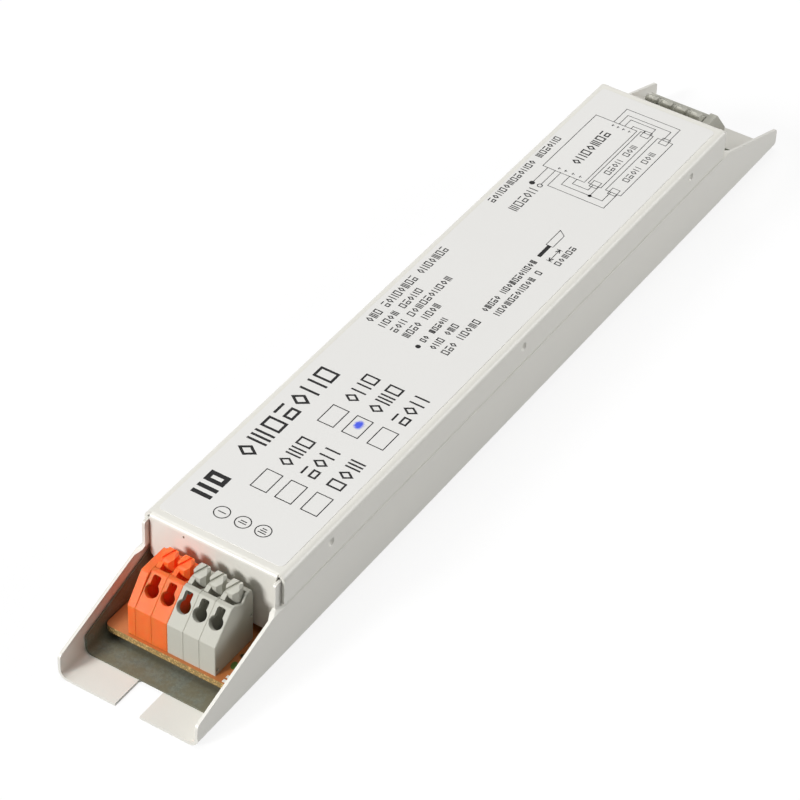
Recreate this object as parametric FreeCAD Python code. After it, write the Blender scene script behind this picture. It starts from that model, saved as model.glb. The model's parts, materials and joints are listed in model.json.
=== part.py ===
import FreeCAD, Part
import math
import os

# Electronic ballast for two straight fluorescent lamps, in a slim folded steel case.
# X runs along the case with the supply end at -X, Y across it and Z up.
# The origin is the middle of the floor that is screwed to the luminaire. Sizes are in millimetres.

# Clamp strips: u runs inwards from the front of the strip, v across the poles, w up from the board
NEAR_POLES = 5
FAR_POLES = 4
NEAR_START = -9.9  # side of the first pole, in Y
FAR_START = -7.0  # the same on the far strip, which is turned half round
POLE_PITCH = 3.5
POLE_WEB = 0.5
PLATE_THICKNESS = 1.7
PLATE_SHOULDER = 4.4  # from the front of the strip to the end plate's level top
BLOCK_DEPTH = 11.7
KNEE_HEIGHT = 7.0
RIDGE_SETBACK = 5.2
RIDGE_HEIGHT = 12.5
RIDGE_WIDTH = 0.9
DIP_SETBACK = 8.6
DIP_HEIGHT = 11.0
TAB_LENGTH = 2.2
REAR_SHOULDER = 11.2
REAR_SLANT = 0.5
FRONT_WALL = 1.4
ROOF_WALL = 1.2
REAR_WALL = 1.4
POLE_FLOOR = 1.2
SEAM_CHAMFER = 0.1  # along the edges where neighbouring poles meet
ENTRY_RADIUS = 1.3  # wire entry
ENTRY_UP_SLOPE = 4.2
ENTRY_FROM_SIDE = 1.85
ENTRY_FLARE = 0.15
FLARE_DEPTH = 0.4
KEYWAY_WIDTH = 1.7
KEYWAY_END = 7.1
KEYWAY_ROUND = 0.4
PEG_RADIUS = 0.4
PEG_CLEARANCE = 0.1
SOCKET_DEPTH = 0.25
PEG_HEIGHT = 0.2

# Release button, clamp spring and contact of one pole
BUTTON_PLAY = 0.15  # to the webs on both sides
BUTTON_BACK_PLAY = 0.3  # to the rear wall
HEAD_GAP = 1.2  # open slot between the ridge and the button's head
HEAD_BOTTOM = 11.0
HEAD_LIP = 12.5  # lower edge of the head's front
HEAD_FRONT_TOP = 13.9
HEAD_TOP = 15.1
HEAD_BEVEL = 0.8
HEAD_EDGE = 0.4
STEM_LENGTH = 2.1
STEM_WIDTH = 2.1
LUG_WIDTH = 0.9
LUG_PLAY = 0.15
LUG_REACH = 0.5  # retaining lug under the ridge
LUG_DEPTH = 0.6
GROOVE_WIDTH = 0.55
GROOVE_DEPTH = 0.6
GROOVE_ANGLE = -35.0
SPRING_THICKNESS = 0.25
SPRING_WIDTH = 2.0
SPRING_TOP = 7.4
SPRING_BEND = 0.8
SPRING_NOSE_BEND = 0.5
SPRING_WALL_GAP = 0.3
SPRING_BRIDGE = 1.6  # flat top that the button's stem presses on
SPRING_TOP_CLEARANCE = 0.1
CLAMP_GAP = 0.15
CLAMP_RISE = 2.6
CONTACT_THICKNESS = 0.5
CONTACT_WIDTH = 2.0
CONTACT_RISE = 4.6
CONTACT_SETBACK = 8.6  # from the front of the strip to the foot of the contact's leg
CONTACT_BEND = 1.0
PIN_SIDE = 0.8
PIN_SETBACK = 1.0  # from the inside of the rear wall
PIN_CLEARANCE = 0.15

# Parts on the circuit board
LEAD_RADIUS = 0.35
LEAD_HOLD = 0.5  # how far a lead runs into the body it comes from
LEAD_CLEARANCE = 0.12
LEAD_REACH = 1.4  # from a lying body to the bend of its lead
TAIL = 1.3  # solder tails below the board
FUSE_RADIUS = 1.7
FUSE_LENGTH = 8.0
FUSE_Y = -3.4
VARISTOR_RADIUS = 4.5
VARISTOR_THICKNESS = 3.6
VARISTOR_Y = 6.3
WINDING = 0.9  # thickness of a ring core's winding
WINDING_GAP = 0.05
WINDING_CHAMFER = 0.3
FILTER_OUTER = 6.5
FILTER_INNER = 3.4
FILTER_HEIGHT = 5.5
FILTER_COILS = 2
FILTER_SPAN = 140.0  # angle that one coil covers
SUPPRESSOR_DEPTH = 6.0
SUPPRESSOR_WIDTH = 13.0
SUPPRESSOR_HEIGHT = 12.0
SUPPRESSOR_Y = -2.5
DIODE_RADIUS = 1.35
DIODE_LENGTH = 5.0
DIODE_PITCH = 3.5
RECTIFIER_Y = -6.0
VALLEY_Y = 5.5
BULK_RADIUS = 6.0
BULK_LENGTH = 20.0
BULK_GAP = 1.0
BULK_CHAMFER = 0.5
BULK_LEAD_PITCH = 5.0
BULK_LEAD_REACH = 1.6
CRIMP_SETBACK = 2.6
CRIMP_DEPTH = 0.6
DRIVE_OUTER = 3.6
DRIVE_INNER = 1.9
DRIVE_HEIGHT = 3.5
DRIVE_COILS = 3
DRIVE_SPAN = 70.0
TRIGGER_RADIUS = 0.9
TRIGGER_LENGTH = 3.6
RESISTORS = 4
RESISTOR_RADIUS = 1.2
RESISTOR_LENGTH = 6.0
RESISTOR_PITCH = 3.0
ROW_GAP = 1.2
TRANSISTOR_WIDTH = 9.8
TRANSISTOR_DEPTH = 4.3
TRANSISTOR_HEIGHT = 8.5
TRANSISTOR_GAP = 1.2
TRANSISTOR_RISE = 1.0
TRANSISTOR_CHAMFER = 0.6
TRANSISTOR_LEAD_PITCH = 2.54
SINK_MARGIN = 0.6
SINK_FOOT = 3.0
SINK_HEIGHT = 11.5
SINK_THICKNESS = 1.2
BLOCKING_LENGTH = 5.0
BLOCKING_WIDTH = 7.0
BLOCKING_HEIGHT = 9.0
BLOCKING_PITCH = 7.0
BLOCKING_GAP = 2.1  # to the transistors
CHOKE_LENGTH = 20.0  # core, along X
CHOKE_WIDTH = 20.0
CHOKE_LIMB = 4.6  # middle limb of the core
CHOKE_YOKE = 0.6  # outer limbs and yokes, as a share of the middle limb
CHOKE_DEPTH = 5.0
CHOKE_HEADROOM = 1.3
BOBBIN_WALL = 0.8
BOBBIN_GAP = 0.1
BOBBIN_WINDOW_GAP = 0.24
BOBBIN_PIN_SPREAD = 0.7  # pins' distance from the middle, as a share of the flange's half width
WINDING_MARGIN = 0.5
WINDING_ROUND = 1.4
THERMISTOR_RADIUS = 2.4
THERMISTOR_THICKNESS = 2.0
THERMISTOR_Y = 9.4
TUNING_DEPTH = 4.4
TUNING_WIDTH = 9.0
TUNING_HEIGHT = 8.0
TUNING_Y = 5.4
SMALL_FILM_PITCH = 5.0  # leads of the small film capacitors
SUPPRESSOR_PITCH = 10.0
FILM_ROUND = 0.6

# Circuit board, its feet and the insulating liner
BOARD_THICKNESS = 1.4
BOARD_MARGIN = 1.6  # from the pair of electrolytic capacitors to the board's edge
BOARD_LEDGE = 0.7  # board past the front of a strip
BOARD_ROUND = 1.2
BOARD_WIDTH = 2 * (2 * BULK_RADIUS + BOARD_MARGIN) + BULK_GAP
HALF_BOARD = BOARD_WIDTH / 2
FOOT_HEIGHT = 1.7
FOOT_RADIUS = 2.0
FOOT_PEG_RADIUS = 1.0
FOOT_PEG_RISE = 0.9
FOOT_END_INSET = 17.8
FOOT_SIDE_INSET = 3.1
LINER = 0.3
LINER_GAP = 0.1  # liner to the channel's walls
LINER_SIDE_GAP = 0.2  # liner to the board's edge
LINER_LEDGE = 5.1  # liner past the end of the board
LINER_HEIGHT = 12.0
LINER_TIP = 4.9
LINER_SLOPE_RUN = 21.0
PILLAR_FLATS = 5.0
PILLAR_INSET = 4.7  # from the board's edge
PILLAR_HOLE_GAP = 1.2  # liner's hole round the pillar
SCREW_RADIUS = 1.45
SCREW_CLEARANCE = 0.05
SCREW_END_GAP = 0.3
SCREW_HEAD_RADIUS = 2.7
SCREW_HEAD_HEIGHT = 1.9
DRIVE_SLOT_LENGTH = 3.2
DRIVE_SLOT_WIDTH = 0.6
DRIVE_SLOT_DEPTH = 1.0
TEST_HOLE_SETBACK = 7.7  # from the supply end of the board
TEST_HOLE_INSET = 3.05
TEST_HOLE_RADIUS = 0.6

# Steel case, built round the board and what stands on it
SHEET = 0.6
HEADROOM = 4.0  # above the electrolytic capacitors
COVER_LENGTH = 164.0
STRIP_GAP = 1.4  # cover to strip
FLOOR_LEDGE = 7.1  # floor past the end of the liner
WIDTH = BOARD_WIDTH + 2 * (LINER_SIDE_GAP + LINER + LINER_GAP + SHEET)
HALF_WIDTH = WIDTH / 2
LINER_TOP = SHEET + LINER
BOARD_UNDERSIDE = LINER_TOP + FOOT_HEIGHT
BOARD_TOP = BOARD_UNDERSIDE + BOARD_THICKNESS
HEIGHT = BOARD_TOP + 2 * BULK_RADIUS + HEADROOM + SHEET
STRIP_FRONT = COVER_LENGTH / 2 + STRIP_GAP + BLOCK_DEPTH
BOARD_LENGTH = 2 * (STRIP_FRONT + BOARD_LEDGE)
LINER_LENGTH = BOARD_LENGTH + 2 * LINER_LEDGE
LENGTH = LINER_LENGTH + 2 * FLOOR_LEDGE
CHANNEL_BEND = 2.0  # outside radius of the channel's long folds
COVER_BEND = 1.4  # outside radius of the cover's long folds
END_BEND = 1.0  # outside radius of the folds at the cover's ends
FLANGE_DEPTH = 6.8  # how far the cover reaches down the sides
FLANGE_SETBACK = 0.5  # flange short of the end flap's face
LAP_GAP = 0.1  # between the cover's flange and the set-in wall behind it
JOGGLE_RISE = 0.5  # height over which the wall steps in under the flange
SEAM_GAP = 0.1  # below the flange's lower edge
SEAM = HEIGHT - FLANGE_DEPTH
WALL_HEADROOM = 1.2  # set-in wall to the top of the cover
WALL_TONGUE = 1.3  # set-in wall past the end of the cover
TONGUE_ROUND = 0.5
TIP_HEIGHT = 5.4  # walls at the ends of the channel
TIP_ROUND = 1.2
SLOPE_ROUND = 0.3
SLOT_WIDTH = 5.4  # open mounting slot in each end of the floor
SLOT_DEPTH = 7.5
SLOT_ROUND = 0.6
FLAP_SIDE_GAP = 0.2  # end flap to the set-in walls
FLAP_WAIST = 1.2  # by how much the flap's lower part is narrower on each side
FLAP_SHOULDER = 9.3  # from the top of the cover to the flap's rounded shoulders
FLAP_ROUND = 0.8
FLAP_GAP = 2.0  # flap to the circuit board under it
DIMPLE_INSET = 15.3
DIMPLE_DROP = 3.0  # dimple's middle below the top of the cover
DIMPLE_RADIUS = 1.2
DIMPLE_DEPTH = 0.45
DIMPLE_CLEARANCE = 0.2
LABEL_THICKNESS = 0.1
LABEL_MARGIN = 0.3  # from the start of the cover's long folds
LABEL_END_MARGIN = 1.2
LABEL_CORNER = 1.0

RIDGE_SLOPE = (RIDGE_HEIGHT - KNEE_HEIGHT) / RIDGE_SETBACK
lead_places = []


def corner_arc(before, corner, after, radius):
    """Start, middle and end of the arc that rounds one corner of a polyline."""
    back = (before - corner).normalize()
    ahead = (after - corner).normalize()
    half_angle = back.getAngle(ahead) / 2
    reach = radius / math.tan(half_angle)
    bisector = (back + ahead).normalize()
    middle = corner + bisector * (radius / math.sin(half_angle) - radius)
    return corner + back * reach, middle, corner + ahead * reach


def rounded_wire(points, radii, closed=True):
    """Wire along the points, with each corner rounded by its radius."""
    count = len(points)
    edges = []
    first = None
    last = None
    for index, point in enumerate(points):
        at_end = not closed and index in (0, count - 1)
        if at_end or not radii[index]:
            start, end = point, point
        else:
            following = points[(index + 1) % count]
            start, middle, end = corner_arc(points[index - 1], point, following, radii[index])
        if last is None:
            first = start
        elif last.distanceToPoint(start) > 1e-6:
            edges.append(Part.LineSegment(last, start).toShape())
        if start is not end:
            edges.append(Part.Arc(start, middle, end).toShape())
        last = end
    if closed and last.distanceToPoint(first) > 1e-6:
        edges.append(Part.LineSegment(last, first).toShape())
    return Part.Wire(edges)


def in_xz(pairs, y=0.0):
    return [FreeCAD.Vector(a, y, b) for a, b in pairs]


def in_yz(pairs, x=0.0):
    return [FreeCAD.Vector(x, a, b) for a, b in pairs]


def in_xy(pairs, z=0.0):
    return [FreeCAD.Vector(a, b, z) for a, b in pairs]


def slab(points, radii, direction):
    """Closed outline with rounded corners, extruded along a direction."""
    if not isinstance(radii, list):
        radii = [radii] * len(points)
    return Part.Face(rounded_wire(points, radii)).extrude(direction)


def folded_sheet(points, radii, thickness, direction):
    """Sheet folded along a path, lying to the path's left for an eye that looks against the direction."""
    across = FreeCAD.Vector(direction).normalize()
    ahead = [(b - a).normalize() for a, b in zip(points, points[1:])]
    left = [across.cross(way) for way in ahead]
    other = [points[0] + left[0] * thickness]
    other_radii = [0]
    for index in range(1, len(points) - 1):
        before, after = left[index - 1], left[index]
        other.append(points[index] + (before + after) * (thickness / (1 + before.dot(after))))
        inward = 1 if before.dot(ahead[index]) > 0 else -1
        other_radii.append(radii[index] and radii[index] - inward * thickness)
    other.append(points[-1] + left[-1] * thickness)
    outline = points + other[::-1]
    return slab(outline, radii + [0] + other_radii[::-1], direction)


def mirrored(pairs):
    """Pairs for the +X or +Y half, followed by their mirror images in reverse order."""
    return pairs + [(-a, b) for a, b in reversed(pairs)]


def there_and_back(radii):
    """Corner radii for a mirrored outline."""
    return radii + radii[::-1]


def box(low, high):
    size = [b - a for a, b in zip(low, high)]
    return Part.makeBox(size[0], size[1], size[2], FreeCAD.Vector(*low))


def centred_box(x, y, z, size_x, size_y, size_z):
    low = (x - size_x / 2, y - size_y / 2, z - size_z / 2)
    return box(low, (low[0] + size_x, low[1] + size_y, low[2] + size_z))


def upright(radius, x, y, low, high):
    return Part.makeCylinder(radius, high - low, FreeCAD.Vector(x, y, low))


def fused(shapes):
    solid = shapes[0].multiFuse(shapes[1:])
    return solid.removeSplitter()


def lead(x, y, top=BOARD_TOP + LEAD_HOLD):
    """Wire lead through the board, whose hole is drilled when the board is made."""
    lead_places.append((x, y))
    return upright(LEAD_RADIUS, x, y, BOARD_UNDERSIDE - TAIL, top)


def bent_lead(face, outward, reach):
    """Lead that leaves a body square to its face, runs out by the reach and turns down into the board."""
    corner = face + outward * reach
    foot = FreeCAD.Vector(corner.x, corner.y, BOARD_UNDERSIDE - TAIL)
    lead_places.append((corner.x, corner.y))
    path = rounded_wire([foot, corner, face - outward * LEAD_HOLD], [0, 0, 0], closed=False)
    section = Part.Wire(Part.makeCircle(LEAD_RADIUS, foot, FreeCAD.Vector(0, 0, 1)))
    return path.makePipeShell([section], True, False, 1)


def bay_middles():
    """Middle of each bay along the board, from the supply end, with equal gaps between the bays."""
    lengths = {
        "supply": VARISTOR_THICKNESS,
        "filter": 2 * ring_reach(FILTER_OUTER),
        "suppressor": SUPPRESSOR_DEPTH,
        "rectifier": 3 * DIODE_PITCH + 2 * DIODE_RADIUS,
        "reservoir": BULK_LENGTH + BULK_LEAD_REACH + LEAD_RADIUS,
        "control": sum(control_row()) + 2 * ROW_GAP,
        "first choke": CHOKE_LENGTH,
        "thermistors": THERMISTOR_THICKNESS,
        "second choke": CHOKE_LENGTH,
        "tuning": TUNING_DEPTH,
    }
    inside = COVER_LENGTH - 2 * SHEET
    gap = (inside - sum(lengths.values())) / (len(lengths) + 1)
    middles = {}
    x = -inside / 2
    for name, length in lengths.items():
        middles[name] = x + gap + length / 2
        x += gap + length
    return middles


def ring_reach(outer):
    """Radius of a ring core with its winding."""
    return outer + WINDING_GAP + WINDING


def control_row():
    """Lengths along X of the drive ring, the trigger diode and the row of resistors."""
    row = (RESISTORS - 1) * RESISTOR_PITCH + 2 * RESISTOR_RADIUS
    return [2 * ring_reach(DRIVE_OUTER), 2 * TRIGGER_RADIUS, row]


def pillar_place():
    return bay_middles()["suppressor"], HALF_BOARD - PILLAR_INSET


def dimple_places():
    height = HEIGHT - DIMPLE_DROP
    spacing = COVER_LENGTH / 2 - DIMPLE_INSET
    return [(index * spacing, side, height) for index in (-1, 0, 1) for side in (-1, 1)]


def dimple_ball(x, side, z, radius):
    """Ball whose cap is pressed into the cover's flange."""
    middle = HALF_WIDTH + DIMPLE_RADIUS - DIMPLE_DEPTH
    return Part.makeSphere(radius, FreeCAD.Vector(x, side * middle, z))


def dimple_mouth():
    """Radius of the ring where a dimple's back leaves the inside of the flange."""
    ball = DIMPLE_RADIUS + SHEET
    return math.sqrt(ball ** 2 - (ball - DIMPLE_DEPTH) ** 2)


def set_in():
    """Distance of the set-in wall's outer face from the middle."""
    return HALF_WIDTH - SHEET - LAP_GAP


def base_channel():
    """Floor and two side walls, folded from one sheet, with tapered ends and open slots."""
    wall_top = HEIGHT - WALL_HEADROOM
    step_top = SEAM - SEAM_GAP
    half = [(-set_in(), wall_top), (-set_in(), step_top),
            (-HALF_WIDTH, step_top - JOGGLE_RISE), (-HALF_WIDTH, 0)]
    run = FreeCAD.Vector(LENGTH, 0, 0)
    radii = there_and_back([0, 0, 0, CHANNEL_BEND])
    channel = folded_sheet(in_yz(mirrored(half), -LENGTH / 2), radii, SHEET, run)
    wall_end = COVER_LENGTH / 2 + WALL_TONGUE
    half = [(wall_end, wall_top), (wall_end, step_top), (LENGTH / 2, TIP_HEIGHT), (LENGTH / 2, 0)]
    radii = there_and_back([TONGUE_ROUND, SLOPE_ROUND, TIP_ROUND, 0])
    side_view = slab(in_xz(mirrored(half), -HALF_WIDTH), radii, FreeCAD.Vector(0, WIDTH, 0))
    channel = channel.common(side_view)
    for side in (-1, 1):
        inner, outer, half_slot = side * (LENGTH / 2 - SLOT_DEPTH), side * LENGTH / 2, SLOT_WIDTH / 2
        outline = [(inner, -half_slot), (inner, half_slot), (outer, half_slot), (outer, -half_slot)]
        slot = slab(in_xy(outline), [SLOT_ROUND, SLOT_ROUND, 0, 0], FreeCAD.Vector(0, 0, SHEET))
        channel = channel.cut(slot)
    for x, side, z in dimple_places():
        start = FreeCAD.Vector(x, side * HALF_WIDTH, z)
        hole = dimple_mouth() + DIMPLE_CLEARANCE
        channel = channel.cut(Part.makeCylinder(hole, 3 * SHEET, start, FreeCAD.Vector(0, -side, 0)))
    return channel


def end_flap(side):
    """Flap folded down over one end of the cover, rounded in at its shoulders."""
    end = side * COVER_LENGTH / 2
    bottom = BOARD_TOP + FLAP_GAP
    fold_half = HALF_WIDTH - COVER_BEND
    flap_half = set_in() - SHEET - FLAP_SIDE_GAP
    path = in_xz([(end - side * 2 * END_BEND, HEIGHT), (end, HEIGHT), (end, bottom)], -side * fold_half)
    flap = folded_sheet(path, [0, END_BEND, 0], SHEET, FreeCAD.Vector(0, side * 2 * fold_half, 0))
    waist = flap_half - FLAP_WAIST
    shoulder = HEIGHT - FLAP_SHOULDER
    half = [(fold_half, HEIGHT), (fold_half, HEIGHT - END_BEND), (flap_half, HEIGHT - END_BEND),
            (flap_half, shoulder), (waist, shoulder - FLAP_WAIST), (waist, bottom)]
    radii = there_and_back([0, 0, 0, FLAP_ROUND, FLAP_WAIST / 3, FLAP_ROUND])
    reach = 4 * END_BEND
    face = slab(in_yz(mirrored(half), end - side * reach), radii, FreeCAD.Vector(side * reach, 0, 0))
    return flap.common(face)


def top_cover():
    """Cover folded from one sheet: top, two side flanges with locking dimples, two end flaps."""
    path = [(HALF_WIDTH, SEAM), (HALF_WIDTH, HEIGHT), (-HALF_WIDTH, HEIGHT), (-HALF_WIDTH, SEAM)]
    flange_end = COVER_LENGTH / 2 - FLANGE_SETBACK
    run = FreeCAD.Vector(2 * flange_end, 0, 0)
    cover = folded_sheet(in_yz(path, -flange_end), [0, COVER_BEND, COVER_BEND, 0], SHEET, run)
    fold_half = HALF_WIDTH - COVER_BEND
    fold_start = COVER_LENGTH / 2 - END_BEND
    for side in (-1, 1):
        inner, outer = sorted((side * fold_start, side * flange_end))
        cover = cover.cut(box((inner, -fold_half, HEIGHT - SHEET), (outer, fold_half, HEIGHT)))
    cover = fused([cover, end_flap(-1), end_flap(1)])
    for x, side, z in dimple_places():
        cap = dimple_ball(x, side, z, DIMPLE_RADIUS + SHEET)
        reach = 2 * (DIMPLE_RADIUS + SHEET)
        inner = centred_box(x, 0, z, reach, WIDTH, reach)
        cover = cover.fuse(cap.common(inner)).cut(dimple_ball(x, side, z, DIMPLE_RADIUS))
    return cover.removeSplitter()


def top_label():
    half_x = COVER_LENGTH / 2 - END_BEND - LABEL_END_MARGIN
    half_y = HALF_WIDTH - COVER_BEND - LABEL_MARGIN
    outline = mirrored([(half_x, half_y), (half_x, -half_y)])
    return slab(in_xy(outline, HEIGHT), LABEL_CORNER, FreeCAD.Vector(0, 0, LABEL_THICKNESS))


def insulation_sheet():
    """Folded liner of pressboard on the channel's floor and up its walls."""
    side = HALF_WIDTH - SHEET - LINER_GAP
    fold = CHANNEL_BEND - SHEET + LINER_GAP
    end = LINER_LENGTH / 2
    run = FreeCAD.Vector(LINER_LENGTH, 0, 0)
    path = in_yz(mirrored([(-side, LINER_HEIGHT), (-side, SHEET)]), -end)
    liner = folded_sheet(path, [0, fold, fold, 0], LINER, run)
    side_view = mirrored([(end - LINER_SLOPE_RUN, LINER_HEIGHT), (end, LINER_TIP), (end, 0)])
    radii = there_and_back([0, SLOPE_ROUND, 0])
    liner = liner.common(slab(in_xz(side_view, -HALF_WIDTH), radii, FreeCAD.Vector(0, WIDTH, 0)))
    x, y = pillar_place()
    return liner.cut(upright(PILLAR_FLATS / 2 + PILLAR_HOLE_GAP, x, y, 0, BOARD_UNDERSIDE))


def foot_places():
    spacing = (BOARD_LENGTH - 2 * FOOT_END_INSET) / 3
    across = HALF_BOARD - FOOT_SIDE_INSET
    return [(step * spacing, side * across) for step in (-1.5, -0.5, 0.5, 1.5) for side in (-1, 1)]


def board_feet():
    """Moulded feet that hold the board off the liner, each with a peg through the board."""
    feet = []
    for x, y in foot_places():
        stand = upright(FOOT_RADIUS, x, y, LINER_TOP, BOARD_UNDERSIDE)
        peg = upright(FOOT_PEG_RADIUS, x, y, LINER_TOP, BOARD_TOP + FOOT_PEG_RISE)
        feet.append(stand.fuse(peg).removeSplitter())
    return Part.makeCompound(feet)


def earth_pillar():
    """Six-sided pillar welded to the floor, tapped for the earth screw."""
    x, y = pillar_place()
    radius = PILLAR_FLATS / 2 / math.cos(math.radians(30))
    angles = [math.radians(60 * step) for step in range(6)]
    corners = [(x + radius * math.cos(angle), y + radius * math.sin(angle)) for angle in angles]
    pillar = slab(in_xy(corners, SHEET), 0, FreeCAD.Vector(0, 0, BOARD_UNDERSIDE - SHEET))
    return pillar.cut(upright(SCREW_RADIUS + SCREW_CLEARANCE, x, y, 2 * SHEET, BOARD_UNDERSIDE))


def earth_screw():
    """Screw with a domed head and a cross slot, through the board into the pillar."""
    x, y = pillar_place()
    top = BOARD_TOP + SCREW_HEAD_HEIGHT
    shank = upright(SCREW_RADIUS, x, y, 2 * SHEET + SCREW_END_GAP, BOARD_TOP)
    head = upright(SCREW_HEAD_RADIUS, x, y, BOARD_TOP, top)
    rim = [edge for edge in head.Edges if edge.BoundBox.ZMin > BOARD_TOP and len(edge.Vertexes) == 1]
    head = head.makeFillet(SCREW_HEAD_HEIGHT / 3, rim)
    slots = [centred_box(x, y, top, DRIVE_SLOT_LENGTH, DRIVE_SLOT_WIDTH, 2 * DRIVE_SLOT_DEPTH),
             centred_box(x, y, top, DRIVE_SLOT_WIDTH, DRIVE_SLOT_LENGTH, 2 * DRIVE_SLOT_DEPTH)]
    return shank.fuse(head).cut(fused(slots)).removeSplitter()


def roof(u):
    """Height of the underside of a pole's sloping roof."""
    return KNEE_HEIGHT + RIDGE_SLOPE * u - ROOF_WALL * math.hypot(1, RIDGE_SLOPE)


def back_of_ridge():
    return RIDGE_SETBACK + RIDGE_WIDTH


def rear_wall():
    """Inner face of the pole's rear wall."""
    return BLOCK_DEPTH - REAR_WALL


def pole_middle():
    return (POLE_WEB + POLE_PITCH) / 2


def pole_body():
    """Outside of a pole: upright front, sloping face, ridge, dip beside the button, rear tab, fine seams."""
    outline = [(0, 0), (0, KNEE_HEIGHT), (RIDGE_SETBACK, RIDGE_HEIGHT), (back_of_ridge(), RIDGE_HEIGHT),
               (DIP_SETBACK, DIP_HEIGHT), (BLOCK_DEPTH - TAB_LENGTH, RIDGE_HEIGHT),
               (BLOCK_DEPTH - REAR_SLANT, RIDGE_HEIGHT), (BLOCK_DEPTH, REAR_SHOULDER), (BLOCK_DEPTH, 0)]
    body = slab(in_xz(outline), [0, 0.3, 0.3, 0.15, 0.5, 0.4, 0.4, 0.5, 0], FreeCAD.Vector(0, POLE_PITCH, 0))
    return seamed(body)


def seamed(body):
    """Body with its outline edges chamfered on both sides, except along the board."""
    rims = [edge for edge in body.Edges if edge.BoundBox.YLength < 1e-6 and edge.BoundBox.ZMax > 1e-6]
    return body.makeChamfer(SEAM_CHAMFER, rims)


def entry_tool():
    """Keyhole cutter: a flared round wire entry with a keyway up to the ridge, square to the sloping face."""
    depth = 2 * ROOF_WALL
    at = (ENTRY_UP_SLOPE, ENTRY_FROM_SIDE)
    mouth = ENTRY_RADIUS + ENTRY_FLARE
    hole = upright(ENTRY_RADIUS, *at, -depth, 0)
    flare = Part.makeCone(ENTRY_RADIUS, mouth, FLARE_DEPTH, FreeCAD.Vector(*at, -FLARE_DEPTH))
    clear = upright(mouth, *at, 0, 1)
    low, high = ENTRY_FROM_SIDE - KEYWAY_WIDTH / 2, ENTRY_FROM_SIDE + KEYWAY_WIDTH / 2
    outline = [(ENTRY_UP_SLOPE, low), (KEYWAY_END, low), (KEYWAY_END, high), (ENTRY_UP_SLOPE, high)]
    rounds = [0, KEYWAY_ROUND, KEYWAY_ROUND, 0]
    keyway = slab(in_xy(outline, -depth), rounds, FreeCAD.Vector(0, 0, depth + 1))
    tool = fused([hole, flare, clear, keyway])
    tool.rotate(FreeCAD.Vector(), FreeCAD.Vector(0, 1, 0), -math.degrees(math.atan(RIDGE_SLOPE)))
    tool.translate(FreeCAD.Vector(0, 0, KNEE_HEIGHT))
    return tool


def peg_places():
    """Places of the pegs and sockets that join neighbouring poles, in side view."""
    return [(BLOCK_DEPTH - REAR_WALL / 2, RIDGE_HEIGHT / 2), (FRONT_WALL / 2, POLE_FLOOR)]


def with_sockets(body):
    for u, w in peg_places():
        start = FreeCAD.Vector(u, 0, w)
        body = body.cut(Part.makeCylinder(PEG_RADIUS, SOCKET_DEPTH, start, FreeCAD.Vector(0, 1, 0)))
    return body


def pole_housing():
    """Moulded housing of one pole, open on the side that the next pole or the end plate closes."""
    top = RIDGE_HEIGHT + 1
    ridge = back_of_ridge()
    chamber = [(FRONT_WALL, POLE_FLOOR), (FRONT_WALL, roof(FRONT_WALL)), (ridge, roof(ridge)),
               (ridge, top), (rear_wall(), top), (rear_wall(), POLE_FLOOR)]
    chamber = slab(in_xz(chamber, POLE_WEB), 0, FreeCAD.Vector(0, POLE_PITCH, 0))
    shell = with_sockets(pole_body().cut(chamber).cut(entry_tool()))
    for u, w in peg_places():
        start = FreeCAD.Vector(u, POLE_PITCH, w)
        peg = Part.makeCylinder(PEG_RADIUS - PEG_CLEARANCE, PEG_HEIGHT, start, FreeCAD.Vector(0, 1, 0))
        shell = shell.fuse(peg)
    hole = PIN_SIDE + 2 * PIN_CLEARANCE
    return shell.cut(centred_box(pin_setback(), pole_middle(), 0, hole, hole, 2 * POLE_FLOOR))


def end_plate():
    """Plate with a level top that closes the open side of the last pole."""
    outline = [(0, 0), (0, KNEE_HEIGHT), (PLATE_SHOULDER, RIDGE_HEIGHT),
               (BLOCK_DEPTH - REAR_SLANT, RIDGE_HEIGHT), (BLOCK_DEPTH, REAR_SHOULDER), (BLOCK_DEPTH, 0)]
    plate = slab(in_xz(outline), [0, 0.3, 0.8, 0.4, 0.5, 0], FreeCAD.Vector(0, PLATE_THICKNESS, 0))
    return with_sockets(seamed(plate))


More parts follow.
